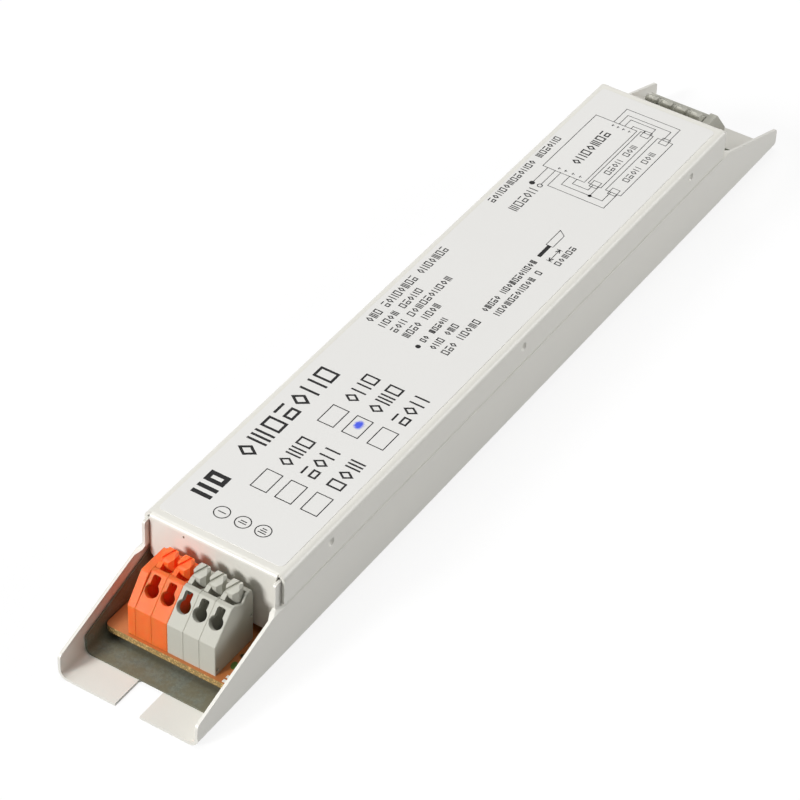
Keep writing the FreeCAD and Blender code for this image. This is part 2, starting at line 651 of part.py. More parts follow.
def button_head(front, rear, left, right):
    """Bevelled head whose top rises to the rear, with a screwdriver groove across it."""
    bevel, edge = HEAD_BEVEL, HEAD_EDGE
    plan = [(front, left + bevel), (front + bevel, left), (rear - edge, left), (rear, left + edge),
            (rear, right - edge), (rear - edge, right), (front + bevel, right), (front, right - bevel)]
    tall = FreeCAD.Vector(0, 0, HEAD_TOP - HEAD_BOTTOM)
    head = slab(in_xy(plan, HEAD_BOTTOM), 0, tall)
    across = [(left, HEAD_BOTTOM), (left, HEAD_TOP - bevel), (left + bevel, HEAD_TOP),
              (right - bevel, HEAD_TOP), (right, HEAD_TOP - bevel), (right, HEAD_BOTTOM)]
    head = head.common(slab(in_yz(across), 0, FreeCAD.Vector(BLOCK_DEPTH, 0, 0)))
    along = [(front + bevel, HEAD_BOTTOM), (front, HEAD_LIP), (front, HEAD_FRONT_TOP - edge),
             (front + edge, HEAD_FRONT_TOP), (rear - edge, HEAD_TOP), (rear, HEAD_TOP - edge),
             (rear, HEAD_BOTTOM)]
    head = head.common(slab(in_xz(along), 0, FreeCAD.Vector(0, POLE_PITCH, 0)))
    rise = math.atan2(HEAD_TOP - HEAD_FRONT_TOP, rear - front - 2 * edge)
    groove = centred_box(0, 0, 0, 2 * BLOCK_DEPTH, GROOVE_WIDTH, 2 * GROOVE_DEPTH)
    groove.rotate(FreeCAD.Vector(), FreeCAD.Vector(0, 0, 1), GROOVE_ANGLE)
    groove.rotate(FreeCAD.Vector(), FreeCAD.Vector(0, 1, 0), -math.degrees(rise))
    groove.translate(FreeCAD.Vector((front + rear) / 2, (left + right) / 2, (HEAD_TOP + HEAD_FRONT_TOP) / 2))
    return head.cut(groove)


def release_button():
    """Button: bevelled head, a stem down to the spring and a leg whose lug hooks under the ridge."""
    front = back_of_ridge() + HEAD_GAP
    rear = rear_wall() - BUTTON_BACK_PLAY
    left, right = POLE_WEB + BUTTON_PLAY, POLE_PITCH - BUTTON_PLAY
    stem_start = rear - STEM_LENGTH
    stem_low = (left + right - STEM_WIDTH) / 2
    stem_bottom = SPRING_TOP + SPRING_TOP_CLEARANCE
    stem = box((stem_start, stem_low, stem_bottom), (rear, stem_low + STEM_WIDTH, HEAD_BOTTOM))
    leg_front = back_of_ridge() + LUG_PLAY
    nose = back_of_ridge() - LUG_REACH
    under = LUG_PLAY * math.hypot(1, RIDGE_SLOPE)
    nose_top = roof(nose) - under
    stem_middle = rear - STEM_LENGTH / 2
    leg = [(front + HEAD_BEVEL, HEAD_FRONT_TOP - HEAD_BEVEL), (front, HEAD_FRONT_TOP - HEAD_BEVEL),
           (leg_front, HEAD_LIP), (leg_front, roof(leg_front) - under), (nose, nose_top),
           (nose, nose_top - LUG_DEPTH), (stem_middle, nose_top - LUG_DEPTH), (stem_middle, HEAD_BOTTOM),
           (front + HEAD_BEVEL, HEAD_BOTTOM)]
    leg = slab(in_xz(leg, right - LUG_WIDTH), 0, FreeCAD.Vector(0, LUG_WIDTH, 0))
    return fused([button_head(front, rear, left, right), stem, leg])


def pin_setback():
    """Distance of the solder pins from the front of the strip."""
    return rear_wall() - PIN_SETBACK


def contact():
    """Current bar with a leg along the wire's path and a solder pin through floor and board."""
    rear = rear_wall() - SPRING_WALL_GAP
    tip = (CONTACT_SETBACK - CONTACT_RISE * RIDGE_SLOPE, POLE_FLOOR + CONTACT_RISE)
    path = in_xz([(rear, POLE_FLOOR), (CONTACT_SETBACK, POLE_FLOOR), tip], pole_middle() - CONTACT_WIDTH / 2)
    bar = folded_sheet(path, [0, CONTACT_BEND, 0], CONTACT_THICKNESS, FreeCAD.Vector(0, CONTACT_WIDTH, 0))
    low, high = -BOARD_THICKNESS - TAIL, POLE_FLOOR + CONTACT_THICKNESS
    pin = centred_box(pin_setback(), pole_middle(), (low + high) / 2, PIN_SIDE, PIN_SIDE, high - low)
    return fused([bar, pin])


def clamp_spring():
    """Leaf spring: it stands on the bar, bends over under the button and closes on the bar's leg."""
    rear = rear_wall() - SPRING_WALL_GAP
    foot = POLE_FLOOR + CONTACT_THICKNESS
    meet = foot + CLAMP_RISE
    slanted = CONTACT_THICKNESS * math.hypot(1, RIDGE_SLOPE)
    tip = CONTACT_SETBACK - (meet - POLE_FLOOR) * RIDGE_SLOPE + slanted + CLAMP_GAP
    path = [(rear, foot), (rear, SPRING_TOP), (rear - SPRING_BRIDGE, SPRING_TOP), (tip, meet)]
    radii = [0, SPRING_BEND, SPRING_NOSE_BEND, 0]
    start = pole_middle() + SPRING_WIDTH / 2
    return folded_sheet(in_xz(path, start), radii, SPRING_THICKNESS, FreeCAD.Vector(0, -SPRING_WIDTH, 0))


def placed_pole(shape, end, start, index):
    """Copy of a pole's piece in the case: end is -1 for the supply end and 1 for the lamp end."""
    moved = shape.copy()
    moved.translate(FreeCAD.Vector(-STRIP_FRONT, start + index * POLE_PITCH, BOARD_TOP))
    if end > 0:
        moved.rotate(FreeCAD.Vector(), FreeCAD.Vector(0, 0, 1), 180)
    return moved


def strips():
    """Name, end of the case, start and number of poles of both strips."""
    return [("near", -1, NEAR_START, NEAR_POLES), ("far", 1, FAR_START, FAR_POLES)]


def clamp_strips():
    """All pieces of both strips, by name."""
    pieces = {}
    one_pole = {"housing": pole_housing(), "button": release_button(), "spring": clamp_spring()}
    bar = contact()
    for name, end, start, poles in strips():
        for kind, shape in one_pole.items():
            for index in range(poles):
                pieces[f"{name}_{kind}_{index + 1}"] = placed_pole(shape, end, start, index)
        bars = [placed_pole(bar, end, start, index) for index in range(poles)]
        pieces[f"{name}_contacts"] = Part.makeCompound(bars)
        pieces[f"{name}_end_plate"] = placed_pole(end_plate(), end, start, poles)
    return pieces


def contact_holes():
    """Board holes for the solder pins of both strips."""
    side = PIN_SIDE + 2 * PIN_CLEARANCE
    hole = centred_box(pin_setback(), pole_middle(), 0, side, side, 2 * BOARD_THICKNESS)
    return [placed_pole(hole, end, start, index)
            for _, end, start, poles in strips() for index in range(poles)]


def lying(radius, x, y, z, length, direction):
    """Round body lying along X or Y, centred on its place."""
    axis = FreeCAD.Vector(*direction)
    return Part.makeCylinder(radius, length, FreeCAD.Vector(x, y, z) - axis * (length / 2), axis)


def axial(x, y, radius, length):
    """Part with a lead at each end, lying across the board."""
    z = BOARD_TOP + radius
    parts = [lying(radius, x, y, z, length, (0, 1, 0))]
    for side in (-1, 1):
        face = FreeCAD.Vector(x, y + side * length / 2, z)
        parts.append(bent_lead(face, FreeCAD.Vector(0, side, 0), LEAD_REACH))
    return fused(parts)


def boxed(x, y, size_x, size_y, size_z, lead_pitch):
    """Boxed film capacitor with rounded upright edges and a lead at each end."""
    outline = [(x + a, y + b) for a, b in mirrored([(size_x / 2, size_y / 2), (size_x / 2, -size_y / 2)])]
    body = slab(in_xy(outline, BOARD_TOP), FILM_ROUND, FreeCAD.Vector(0, 0, size_z))
    return fused([body] + [lead(x, y + side * lead_pitch / 2) for side in (-1, 1)])


def disc(x, y, radius, thickness):
    """Dipped disc standing on edge across the case."""
    z = BOARD_TOP + radius
    body = lying(radius, x, y, z, thickness, (1, 0, 0))
    body = body.makeChamfer(thickness / 4, [edge for edge in body.Edges if edge.Closed])
    return fused([body] + [lead(x, y + side * radius / 2, z) for side in (-1, 1)])


def ring_core(x, y, outer, inner, height):
    low = BOARD_TOP + WINDING + WINDING_GAP
    return upright(outer, x, y, low, low + height).cut(upright(inner, x, y, low, low + height))


def chamfered(low, high, cut):
    """Corners of a chamfered rectangle between two corners."""
    (a0, b0), (a1, b1) = low, high
    return [(a0 + cut, b0), (a1 - cut, b0), (a1, b0 + cut), (a1, b1 - cut),
            (a1 - cut, b1), (a0 + cut, b1), (a0, b1 - cut), (a0, b0 + cut)]


def ring_windings(x, y, outer, inner, height, count, span):
    """Coils on a ring core: arcs of a sleeve round the ring's section, with two leads each."""
    low, high = BOARD_TOP, BOARD_TOP + height + 2 * (WINDING + WINDING_GAP)
    sleeve = chamfered((inner - WINDING_GAP - WINDING, low), (ring_reach(outer), high), WINDING_CHAMFER)
    core = chamfered((inner - WINDING_GAP, low + WINDING), (outer + WINDING_GAP, high - WINDING), 0)
    core = [core[index] for index in (0, 1, 4, 5)]
    around, opening = (Part.Face(rounded_wire(in_xz(points), [0] * len(points))) for points in (sleeve, core))
    section = around.cut(opening)
    coils = []
    for step in range(count):
        turn = 360.0 * step / count
        coil = section.Faces[0].revolve(FreeCAD.Vector(), FreeCAD.Vector(0, 0, 1), span)
        coil.rotate(FreeCAD.Vector(), FreeCAD.Vector(0, 0, 1), turn - span / 2)
        coil.translate(FreeCAD.Vector(x, y, 0))
        middle = outer + WINDING_GAP + WINDING / 2
        angles = [math.radians(turn + side * span / 3) for side in (-1, 1)]
        legs = [lead(x + middle * math.cos(a), y + middle * math.sin(a), low + WINDING) for a in angles]
        coils.append(fused([coil] + legs))
    return Part.makeCompound(coils)


def choke_rise():
    """Height of the middle of a choke above the board."""
    return (HEIGHT - SHEET - BOARD_TOP - CHOKE_HEADROOM) / 2


def outer_limb():
    return CHOKE_LIMB * CHOKE_YOKE


def bobbin_half_width():
    return CHOKE_WIDTH / 2 - outer_limb() - BOBBIN_WINDOW_GAP


def bobbin_half_length():
    return CHOKE_LENGTH / 2 - outer_limb() - BOBBIN_GAP


def choke_core(x):
    """Pair of E-shaped ferrite halves, as one closed figure-of-eight frame."""
    z = BOARD_TOP + choke_rise()
    frame = centred_box(x, 0, z, CHOKE_LENGTH, CHOKE_WIDTH, CHOKE_DEPTH)
    window = CHOKE_WIDTH / 2 - outer_limb() - CHOKE_LIMB / 2
    for side in (-1, 1):
        y = side * (CHOKE_LIMB + window) / 2
        frame = frame.cut(centred_box(x, y, z, CHOKE_LENGTH - 2 * outer_limb(), window, CHOKE_DEPTH))
    return frame


def choke_bobbin(x):
    """Bobbin: square tube on the middle limb, two flanges that stand on the board, four pins."""
    z = BOARD_TOP + choke_rise()
    half_x, half_y = bobbin_half_length(), bobbin_half_width()
    bore_y, bore_z = CHOKE_LIMB + 2 * BOBBIN_GAP, CHOKE_DEPTH + 2 * BOBBIN_GAP
    parts = [centred_box(x, 0, z, 2 * half_x, bore_y + 2 * BOBBIN_WALL, bore_z + 2 * BOBBIN_WALL)]
    for side in (-1, 1):
        flange = x + side * (half_x - BOBBIN_WALL / 2)
        parts.append(centred_box(flange, 0, z, BOBBIN_WALL, 2 * half_y, 2 * choke_rise()))
        parts += [lead(flange, across * half_y * BOBBIN_PIN_SPREAD) for across in (-1, 1)]
    return fused(parts).cut(centred_box(x, 0, z, 2 * half_x, bore_y, bore_z))


def choke_winding(x):
    """Wound copper between the bobbin's flanges."""
    z = BOARD_TOP + choke_rise()
    half_x = bobbin_half_length() - BOBBIN_GAP - BOBBIN_WALL
    half_y = bobbin_half_width() - WINDING_MARGIN
    half_z = choke_rise() - WINDING_MARGIN
    outline = in_yz([(y, z + w) for y, w in mirrored([(half_y, -half_z), (half_y, half_z)])], x - half_x)
    coil = slab(outline, WINDING_ROUND, FreeCAD.Vector(2 * half_x, 0, 0))
    tube = 2 * (2 * BOBBIN_GAP + BOBBIN_WALL)
    return coil.cut(centred_box(x, 0, z, 2 * half_x, CHOKE_LIMB + tube, CHOKE_DEPTH + tube))


def bulk_capacitor(x, y):
    """Electrolytic capacitor lying along the board, with its crimp groove."""
    z = BOARD_TOP + BULK_RADIUS
    half, cut, crimp = BULK_LENGTH / 2, BULK_CHAMFER, BULK_LENGTH / 2 - CRIMP_SETBACK
    side = [(-half, 0), (-half, BULK_RADIUS - cut), (cut - half, BULK_RADIUS),
            (crimp - CRIMP_DEPTH, BULK_RADIUS),
            (crimp, BULK_RADIUS - CRIMP_DEPTH), (crimp + CRIMP_DEPTH, BULK_RADIUS), (half - cut, BULK_RADIUS),
            (half, BULK_RADIUS - cut), (half, 0)]
    can = Part.Face(rounded_wire(in_xz(side), [0] * len(side)))
    can = can.revolve(FreeCAD.Vector(), FreeCAD.Vector(1, 0, 0), 360)
    can.translate(FreeCAD.Vector(x, y, z))
    faces = [FreeCAD.Vector(x + half, y + side * BULK_LEAD_PITCH / 2, z) for side in (-1, 1)]
    return fused([can] + [bent_lead(face, FreeCAD.Vector(1, 0, 0), BULK_LEAD_REACH) for face in faces])


def sink_back():
    """Face of the heat sink that the transistors lie against."""
    return HALF_BOARD - 2 * BOARD_MARGIN + LEAD_CLEARANCE


def heat_sink(x):
    """Aluminium angle that stands on the board."""
    outer = sink_back() + SINK_THICKNESS
    top = BOARD_TOP + SINK_HEIGHT
    length = 2 * TRANSISTOR_WIDTH + TRANSISTOR_GAP + 2 * SINK_MARGIN
    profile = in_yz([(outer - SINK_FOOT, top), (outer, top), (outer, BOARD_TOP)], x + length / 2)
    return folded_sheet(profile, [0, SINK_THICKNESS * 1.5, 0], SINK_THICKNESS, FreeCAD.Vector(-length, 0, 0))


def power_transistor(x):
    """Moulded transistor, its back flat on the heat sink, on three leads."""
    middle = sink_back() - TRANSISTOR_DEPTH / 2
    low = BOARD_TOP + TRANSISTOR_RISE
    place = (x, middle, low + TRANSISTOR_HEIGHT / 2)
    body = centred_box(*place, TRANSISTOR_WIDTH, TRANSISTOR_DEPTH, TRANSISTOR_HEIGHT)
    body = body.makeChamfer(TRANSISTOR_CHAMFER, [edge for edge in body.Edges if edge.BoundBox.YMax < middle])
    legs = [lead(x + step * TRANSISTOR_LEAD_PITCH, middle, low + LEAD_HOLD) for step in (-1, 0, 1)]
    return fused([body] + legs)


def spread(count, pitch):
    """Offsets of a row of parts from its middle."""
    return [(index - (count - 1) / 2) * pitch for index in range(count)]


def supply_parts(bays):
    """Fuse, surge absorber, line filter, interference capacitor and rectifier."""
    ring = (bays["filter"], 0.0, FILTER_OUTER, FILTER_INNER, FILTER_HEIGHT)
    places = [bays["rectifier"] + offset for offset in spread(4, DIODE_PITCH)]
    bridge = [axial(x, RECTIFIER_Y, DIODE_RADIUS, DIODE_LENGTH) for x in places]
    valley = [axial(x, VALLEY_Y, DIODE_RADIUS, DIODE_LENGTH) for x in places[:3]]
    return {
        "fuse": axial(bays["supply"], FUSE_Y, FUSE_RADIUS, FUSE_LENGTH),
        "varistor": disc(bays["supply"], VARISTOR_Y, VARISTOR_RADIUS, VARISTOR_THICKNESS),
        "line_filter_core": ring_core(*ring),
        "line_filter_windings": ring_windings(*ring, FILTER_COILS, FILTER_SPAN),
        "interference_capacitor": boxed(bays["suppressor"], SUPPRESSOR_Y, SUPPRESSOR_DEPTH, SUPPRESSOR_WIDTH,
                                        SUPPRESSOR_HEIGHT, SUPPRESSOR_PITCH),
        "rectifier_diodes": Part.makeCompound(bridge),
        "valley_diodes": Part.makeCompound(valley),
    }


def inverter_parts(bays):
    """Reservoir capacitors, drive ring, trigger diode, resistors, transistors and blocking capacitors."""
    can_x = bays["reservoir"] - (BULK_LEAD_REACH + LEAD_RADIUS) / 2
    can_y = BULK_RADIUS + BULK_GAP / 2
    middle = bays["control"]
    ring_length, trigger_length, row_length = control_row()
    start = middle - (ring_length + trigger_length + row_length) / 2 - ROW_GAP
    row_edge = -HALF_BOARD + BOARD_MARGIN
    ring_y = row_edge + ring_reach(DRIVE_OUTER)
    ring = (start + ring_length / 2, ring_y, DRIVE_OUTER, DRIVE_INNER, DRIVE_HEIGHT)
    row_y = row_edge + LEAD_REACH + LEAD_RADIUS + RESISTOR_LENGTH / 2
    trigger_x = start + ring_length + ROW_GAP + trigger_length / 2
    row_x = start + ring_length + trigger_length + 2 * ROW_GAP + row_length / 2
    front = sink_back() - TRANSISTOR_DEPTH - BLOCKING_GAP - BLOCKING_WIDTH / 2
    size = (BLOCKING_LENGTH, BLOCKING_WIDTH, BLOCKING_HEIGHT, SMALL_FILM_PITCH)
    resistors = [axial(row_x + offset, row_y, RESISTOR_RADIUS, RESISTOR_LENGTH)
                 for offset in spread(RESISTORS, RESISTOR_PITCH)]
    transistors = [power_transistor(middle + offset)
                   for offset in spread(2, TRANSISTOR_WIDTH + TRANSISTOR_GAP)]
    return {
        "bulk_capacitors": Part.makeCompound([bulk_capacitor(can_x, side * can_y) for side in (-1, 1)]),
        "drive_ring": ring_core(*ring),
        "drive_windings": ring_windings(*ring, DRIVE_COILS, DRIVE_SPAN),
        "trigger_diode": axial(trigger_x, row_y, TRIGGER_RADIUS, TRIGGER_LENGTH),
        "resistors": Part.makeCompound(resistors),
        "heat_sink": heat_sink(middle),
        "power_transistors": Part.makeCompound(transistors),
        "blocking_capacitors": Part.makeCompound([boxed(middle + offset, front, *size)
                                                  for offset in spread(2, BLOCKING_PITCH)]),
    }


def lamp_parts(bays):
    """Lamp chokes, preheating thermistors and tuning capacitors."""
    chokes = [bays["first choke"], bays["second choke"]]
    size = (TUNING_DEPTH, TUNING_WIDTH, TUNING_HEIGHT, SMALL_FILM_PITCH)
    discs = [disc(bays["thermistors"], side * THERMISTOR_Y, THERMISTOR_RADIUS, THERMISTOR_THICKNESS)
             for side in (-1, 1)]
    films = [boxed(bays["tuning"], side * TUNING_Y, *size) for side in (-1, 1)]
    return {
        "lamp_choke_cores": Part.makeCompound([choke_core(x) for x in chokes]),
        "lamp_choke_bobbins": Part.makeCompound([choke_bobbin(x) for x in chokes]),
        "lamp_choke_windings": Part.makeCompound([choke_winding(x) for x in chokes]),
        "preheat_thermistors": Part.makeCompound(discs),
        "tuning_capacitors": Part.makeCompound(films),
    }


def circuit_board():
    """Board with rounded corners, drilled for leads, solder pins, feet and the earth screw."""
    half_x, half_y = BOARD_LENGTH / 2, HALF_BOARD
    outline = in_xy(mirrored([(half_x, half_y), (half_x, -half_y)]), BOARD_UNDERSIDE)
    board = slab(outline, BOARD_ROUND, FreeCAD.Vector(0, 0, BOARD_THICKNESS))
    drills = [(x, y, LEAD_RADIUS + LEAD_CLEARANCE) for x, y in lead_places]
    drills += [(x, y, FOOT_PEG_RADIUS + PEG_CLEARANCE) for x, y in foot_places()]
    drills.append((*pillar_place(), SCREW_RADIUS + 2 * SCREW_CLEARANCE))
    drills.append((TEST_HOLE_SETBACK - half_x, TEST_HOLE_INSET - half_y, TEST_HOLE_RADIUS))
    holes = [upright(radius, x, y, BOARD_UNDERSIDE, BOARD_TOP) for x, y, radius in drills]
    return board.cut(Part.makeCompound(holes + contact_holes()))


def main():
    os.makedirs("parts", exist_ok=True)
    bays = bay_middles()
    pieces = {
        "base_channel": base_channel(),
        "top_cover": top_cover(),
        "top_label": top_label(),
        "insulation_sheet": insulation_sheet(),
        "board_feet": board_feet(),
        "earth_pillar": earth_pillar(),
        "earth_screw": earth_screw(),
    }
    pieces.update(clamp_strips())
    pieces.update(supply_parts(bays))
    pieces.update(inverter_parts(bays))
    pieces.update(lamp_parts(bays))
    pieces["circuit_board"] = circuit_board()
    for name, shape in pieces.items():
        print(name, len(shape.Solids), round(shape.Volume, 2), shape.isValid())
        shape.exportStep(f"parts/{name}.step")


main()
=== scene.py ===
"""Looks of a lamp ballast: finishes of its pieces, the print on its label, marks on its board and a studio."""
import json
import math

import bmesh
import bpy
from bpy.props import FloatProperty, FloatVectorProperty, PointerProperty
from mathutils import Matrix, Vector, noise


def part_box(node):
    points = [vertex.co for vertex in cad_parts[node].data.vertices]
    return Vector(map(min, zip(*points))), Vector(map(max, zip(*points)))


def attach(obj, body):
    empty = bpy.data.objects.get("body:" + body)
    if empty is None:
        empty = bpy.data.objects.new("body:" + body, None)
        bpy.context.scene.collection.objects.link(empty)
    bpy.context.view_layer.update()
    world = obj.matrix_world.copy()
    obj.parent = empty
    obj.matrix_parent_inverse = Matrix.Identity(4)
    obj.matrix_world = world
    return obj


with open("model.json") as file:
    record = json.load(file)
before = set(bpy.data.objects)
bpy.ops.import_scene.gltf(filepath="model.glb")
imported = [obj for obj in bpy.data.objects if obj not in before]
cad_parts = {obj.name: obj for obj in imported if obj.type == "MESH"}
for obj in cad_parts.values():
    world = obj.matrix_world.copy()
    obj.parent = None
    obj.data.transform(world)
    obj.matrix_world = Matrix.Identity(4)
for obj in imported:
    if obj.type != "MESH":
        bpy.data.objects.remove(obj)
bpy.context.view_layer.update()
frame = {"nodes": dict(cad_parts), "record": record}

bl_info = {
    "name": "Lamp ballast looks",
    "version": (1, 0, 0),
    "blender": (4, 5, 0),
    "location": "3D View > Sidebar > Ballast",
    "description": "Finishes, label print and studio for a slim lamp ballast",
    "category": "Object",
}

MM = 0.001
LABEL_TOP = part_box("top_label")[1].z
BOARD_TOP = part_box("circuit_board")[1].z
FLAP_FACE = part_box("top_cover")[0].x
BODY = "ballast"
FLOOR_DROP = 0.02 * MM


def screen_colour(red, green, blue):
    """Linear colour from the 0 to 255 values that a screen shows."""
    shares = [value / 255 for value in (red, green, blue)]
    return tuple(share / 12.92 if share <= 0.04045 else ((share + 0.055) / 1.055) ** 2.4 for share in shares)


def colour_property(name, description, default):
    return FloatVectorProperty(name=name, description=description, subtype="COLOR", size=3, min=0, max=1,
                               default=default)


def length_property(name, description, default):
    return FloatProperty(name=name, description=description, subtype="DISTANCE", unit="LENGTH", min=0,
                         default=default)


def power_property(name, description, default):
    return FloatProperty(name=name, description=description, subtype="POWER", unit="POWER", min=0,
                         default=default)


class BallastFinishes(bpy.types.PropertyGroup):
    """Colours of the pieces that show."""

    case_paint: colour_property("Case paint", "Coating of the folded sheets", screen_colour(225, 223, 215))
    label_film: colour_property("Label film", "Film stuck on the cover", screen_colour(226, 225, 222))
    grey_plastic: colour_property("Grey plastic", "Grey poles and buttons", screen_colour(186, 185, 174))
    orange_plastic: colour_property("Orange plastic", "Orange poles and buttons", screen_colour(255, 112, 50))
    liner: colour_property("Liner", "Insulating board under the circuit board", screen_colour(106, 110, 99))
    laminate: colour_property("Laminate", "Face of the circuit board", screen_colour(186, 112, 56))
    cut_edge: colour_property("Cut edge", "Sawn edge of the circuit board", screen_colour(222, 184, 118))
    copper: colour_property("Copper", "Enamelled winding wire", screen_colour(176, 96, 50))


class BallastPrint(bpy.types.PropertyGroup):
    """Line widths and colours of the print on the label and the board."""

    ink: colour_property("Ink", "Printing ink", screen_colour(20, 19, 19))
    pen: colour_property("Pen", "Dab of a pen in one tick box", screen_colour(62, 84, 224))
    film: length_property("Film", "Height of the ink on the label", 0.012 * MM)
    heading_line: length_property("Heading line", "Line width of the heading", 0.58 * MM)
    bold_line: length_property("Bold line", "Line width of the two bold marks", 1.0 * MM)
    caption_line: length_property("Caption line", "Line width beside the tick boxes", 0.42 * MM)
    note_line: length_property("Note line", "Line width of the small notes", 0.24 * MM)
    box_line: length_property("Box line", "Line width of the tick boxes and terminal rings", 0.22 * MM)
    rule_line: length_property("Rule line", "Line width of the sketch and the diagram", 0.15 * MM)


class BallastStudio(bpy.types.PropertyGroup):
    """Camera, lamps and floor."""

    lens: FloatProperty(name="Lens", description="Focal length of the camera", subtype="DISTANCE_CAMERA",
                        unit="CAMERA", default=140.4)
    sky: FloatProperty(name="Sky", description="Strength of the even light all round", min=0, default=0.11)
    key: power_property("Key lamp", "Power of the low lamp in front of the supply end", 78.0)
    top: power_property("Top lamp", "Power of the wide lamp overhead", 36.0)
    side: power_property("Side lamp", "Power of the low lamp beside the long wall", 9.0)
    floor: length_property("Floor", "Side of the floor", 6.0)


def add_node(tree, kind, inputs=None, **settings):
    """Node of one kind, its settings made and its inputs linked to sockets or set to values."""
    node = tree.nodes.new(kind)
    for name, value in settings.items():
        setattr(node, name, value)
    for name, value in (inputs or {}).items():
        socket = node.inputs[name]
        if isinstance(value, bpy.types.NodeSocket):
            tree.links.new(value, socket)
        else:
            socket.default_value = value
    return node


def dimmed(colour, share):
    """Colour with each of its parts at a share of itself."""
    return tuple(share * part for part in colour)


def mix_colours(tree, factor, first, second, blend="MIX"):
    """Colour between two colours; a plain colour is given as three numbers."""
    ends = [end if isinstance(end, bpy.types.NodeSocket) else (*end, 1) for end in (first, second)]
    node = add_node(tree, "ShaderNodeMix", {0: factor, 6: ends[0], 7: ends[1]}, data_type="RGBA", blend_type=blend)
    return node.outputs[2]


def math_node(tree, operation, *values):
    """Result of a plain sum on sockets and numbers."""
    node = add_node(tree, "ShaderNodeMath", dict(enumerate(values)), operation=operation)
    return node.outputs[0]


def span_of(tree, value, low, high, to_low=0.0, to_high=1.0):
    """Value carried from one span to another, with its ends kept."""
    node = add_node(tree, "ShaderNodeMapRange",
                    {"Value": value, "From Min": low, "From Max": high, "To Min": to_low, "To Max": to_high})
    return node.outputs["Result"]


FLOAT, VECTOR, COLOUR = "NodeSocketFloat", "NodeSocketVector", "NodeSocketColor"


def new_effect(name, inputs, outputs):
    """Empty shader node group with named inputs, each with a default, and named outputs."""
    effect = bpy.data.node_groups.new(name, "ShaderNodeTree")
    for label, (kind, default) in inputs.items():
        socket = effect.interface.new_socket(label, in_out="INPUT", socket_type=kind)
        if default is not None:
            socket.default_value = default
    for label, kind in outputs.items():
        effect.interface.new_socket(label, in_out="OUTPUT", socket_type=kind)
    inlet = effect.nodes.new("NodeGroupInput")
    outlet = effect.nodes.new("NodeGroupOutput")
    return effect, inlet.outputs, outlet.inputs


def moulding_grain():
    """Fine bumps over a surface, with a slow drift in tone and gloss."""
    effect, given, result = new_effect(
        "moulding_grain",
        {"Place": (VECTOR, None), "Colour": (COLOUR, (0.5, 0.5, 0.5, 1)),
         "Grain": (FLOAT, 0.0004), "Height": (FLOAT, 0.00001),
         "Patch": (FLOAT, 0.006), "Drift": (FLOAT, 0.05),
         "Roughness": (FLOAT, 0.5), "Roughness drift": (FLOAT, 0.1)},
        {"Colour": COLOUR, "Roughness": FLOAT, "Normal": VECTOR})
    fine_scale = math_node(effect, "DIVIDE", 1.0, given["Grain"])
    slow_scale = math_node(effect, "DIVIDE", 1.0, given["Patch"])
    fine = add_node(effect, "ShaderNodeTexNoise", {"Vector": given["Place"], "Scale": fine_scale, "Detail": 2.0})
    slow = add_node(effect, "ShaderNodeTexNoise", {"Vector": given["Place"], "Scale": slow_scale, "Detail": 3.0})
    bump = add_node(effect, "ShaderNodeBump",
                    {"Strength": 1.0, "Distance": given["Height"], "Height": fine.outputs["Fac"]})
    swing = math_node(effect, "SUBTRACT", slow.outputs["Fac"], 0.5)
    brightness = math_node(effect, "MULTIPLY_ADD", swing, given["Drift"], 1.0)
    tone = add_node(effect, "ShaderNodeCombineColor", {0: brightness, 1: brightness, 2: brightness})
    colour = mix_colours(effect, 1.0, given["Colour"], tone.outputs[0], "MULTIPLY")
    rough = math_node(effect, "MULTIPLY_ADD", swing, given["Roughness drift"], given["Roughness"])
    effect.links.new(colour, result["Colour"])
    effect.links.new(rough, result["Roughness"])
    effect.links.new(bump.outputs["Normal"], result["Normal"])
    return effect


def flecks():
    """Mask of small ragged flecks: a share of the surface, at a size that the user gives."""
    effect, given, result = new_effect(
        "flecks",
        {"Place": (VECTOR, None), "Size": (FLOAT, 0.0005),
         "Share": (FLOAT, 0.3), "Softness": (FLOAT, 0.1)},
        {"Mask": FLOAT})
    scale = math_node(effect, "DIVIDE", 1.0, given["Size"])
    cloud = add_node(effect, "ShaderNodeTexNoise",
                     {"Vector": given["Place"], "Scale": scale, "Detail": 3.0, "Roughness": 0.65})
    edge = math_node(effect, "SUBTRACT", 0.78, math_node(effect, "MULTIPLY", given["Share"], 0.55))
    start = math_node(effect, "SUBTRACT", edge, given["Softness"])
    mask = span_of(effect, cloud.outputs["Fac"], start, edge)
    effect.links.new(mask, result["Mask"])
    return effect


def drawn_lines():
    """Fine lines left by rolling or drawing, stretched along one axis, as a height and a gloss."""
    effect, given, result = new_effect(
        "drawn_lines",
        {"Place": (VECTOR, None), "Stretch": (VECTOR, (0.05, 1.0, 1.0)),
         "Width": (FLOAT, 0.0002), "Height": (FLOAT, 0.000004),
         "Roughness": (FLOAT, 0.3)},
        {"Roughness": FLOAT, "Normal": VECTOR, "Mask": FLOAT})
    drawn = add_node(effect, "ShaderNodeVectorMath", {0: given["Place"], 1: given["Stretch"]}, operation="MULTIPLY")
    scale = math_node(effect, "DIVIDE", 1.0, given["Width"])
    lines = add_node(effect, "ShaderNodeTexNoise",
                     {"Vector": drawn.outputs[0], "Scale": scale, "Detail": 2.0, "Roughness": 0.6})
    bump = add_node(effect, "ShaderNodeBump",
                    {"Strength": 1.0, "Distance": given["Height"], "Height": lines.outputs["Fac"]})
    swing = math_node(effect, "SUBTRACT", lines.outputs["Fac"], 0.5)
    rough = math_node(effect, "MULTIPLY_ADD", swing, 0.3, given["Roughness"])
    effect.links.new(rough, result["Roughness"])
    effect.links.new(bump.outputs["Normal"], result["Normal"])
    effect.links.new(lines.outputs["Fac"], result["Mask"])
    return effect


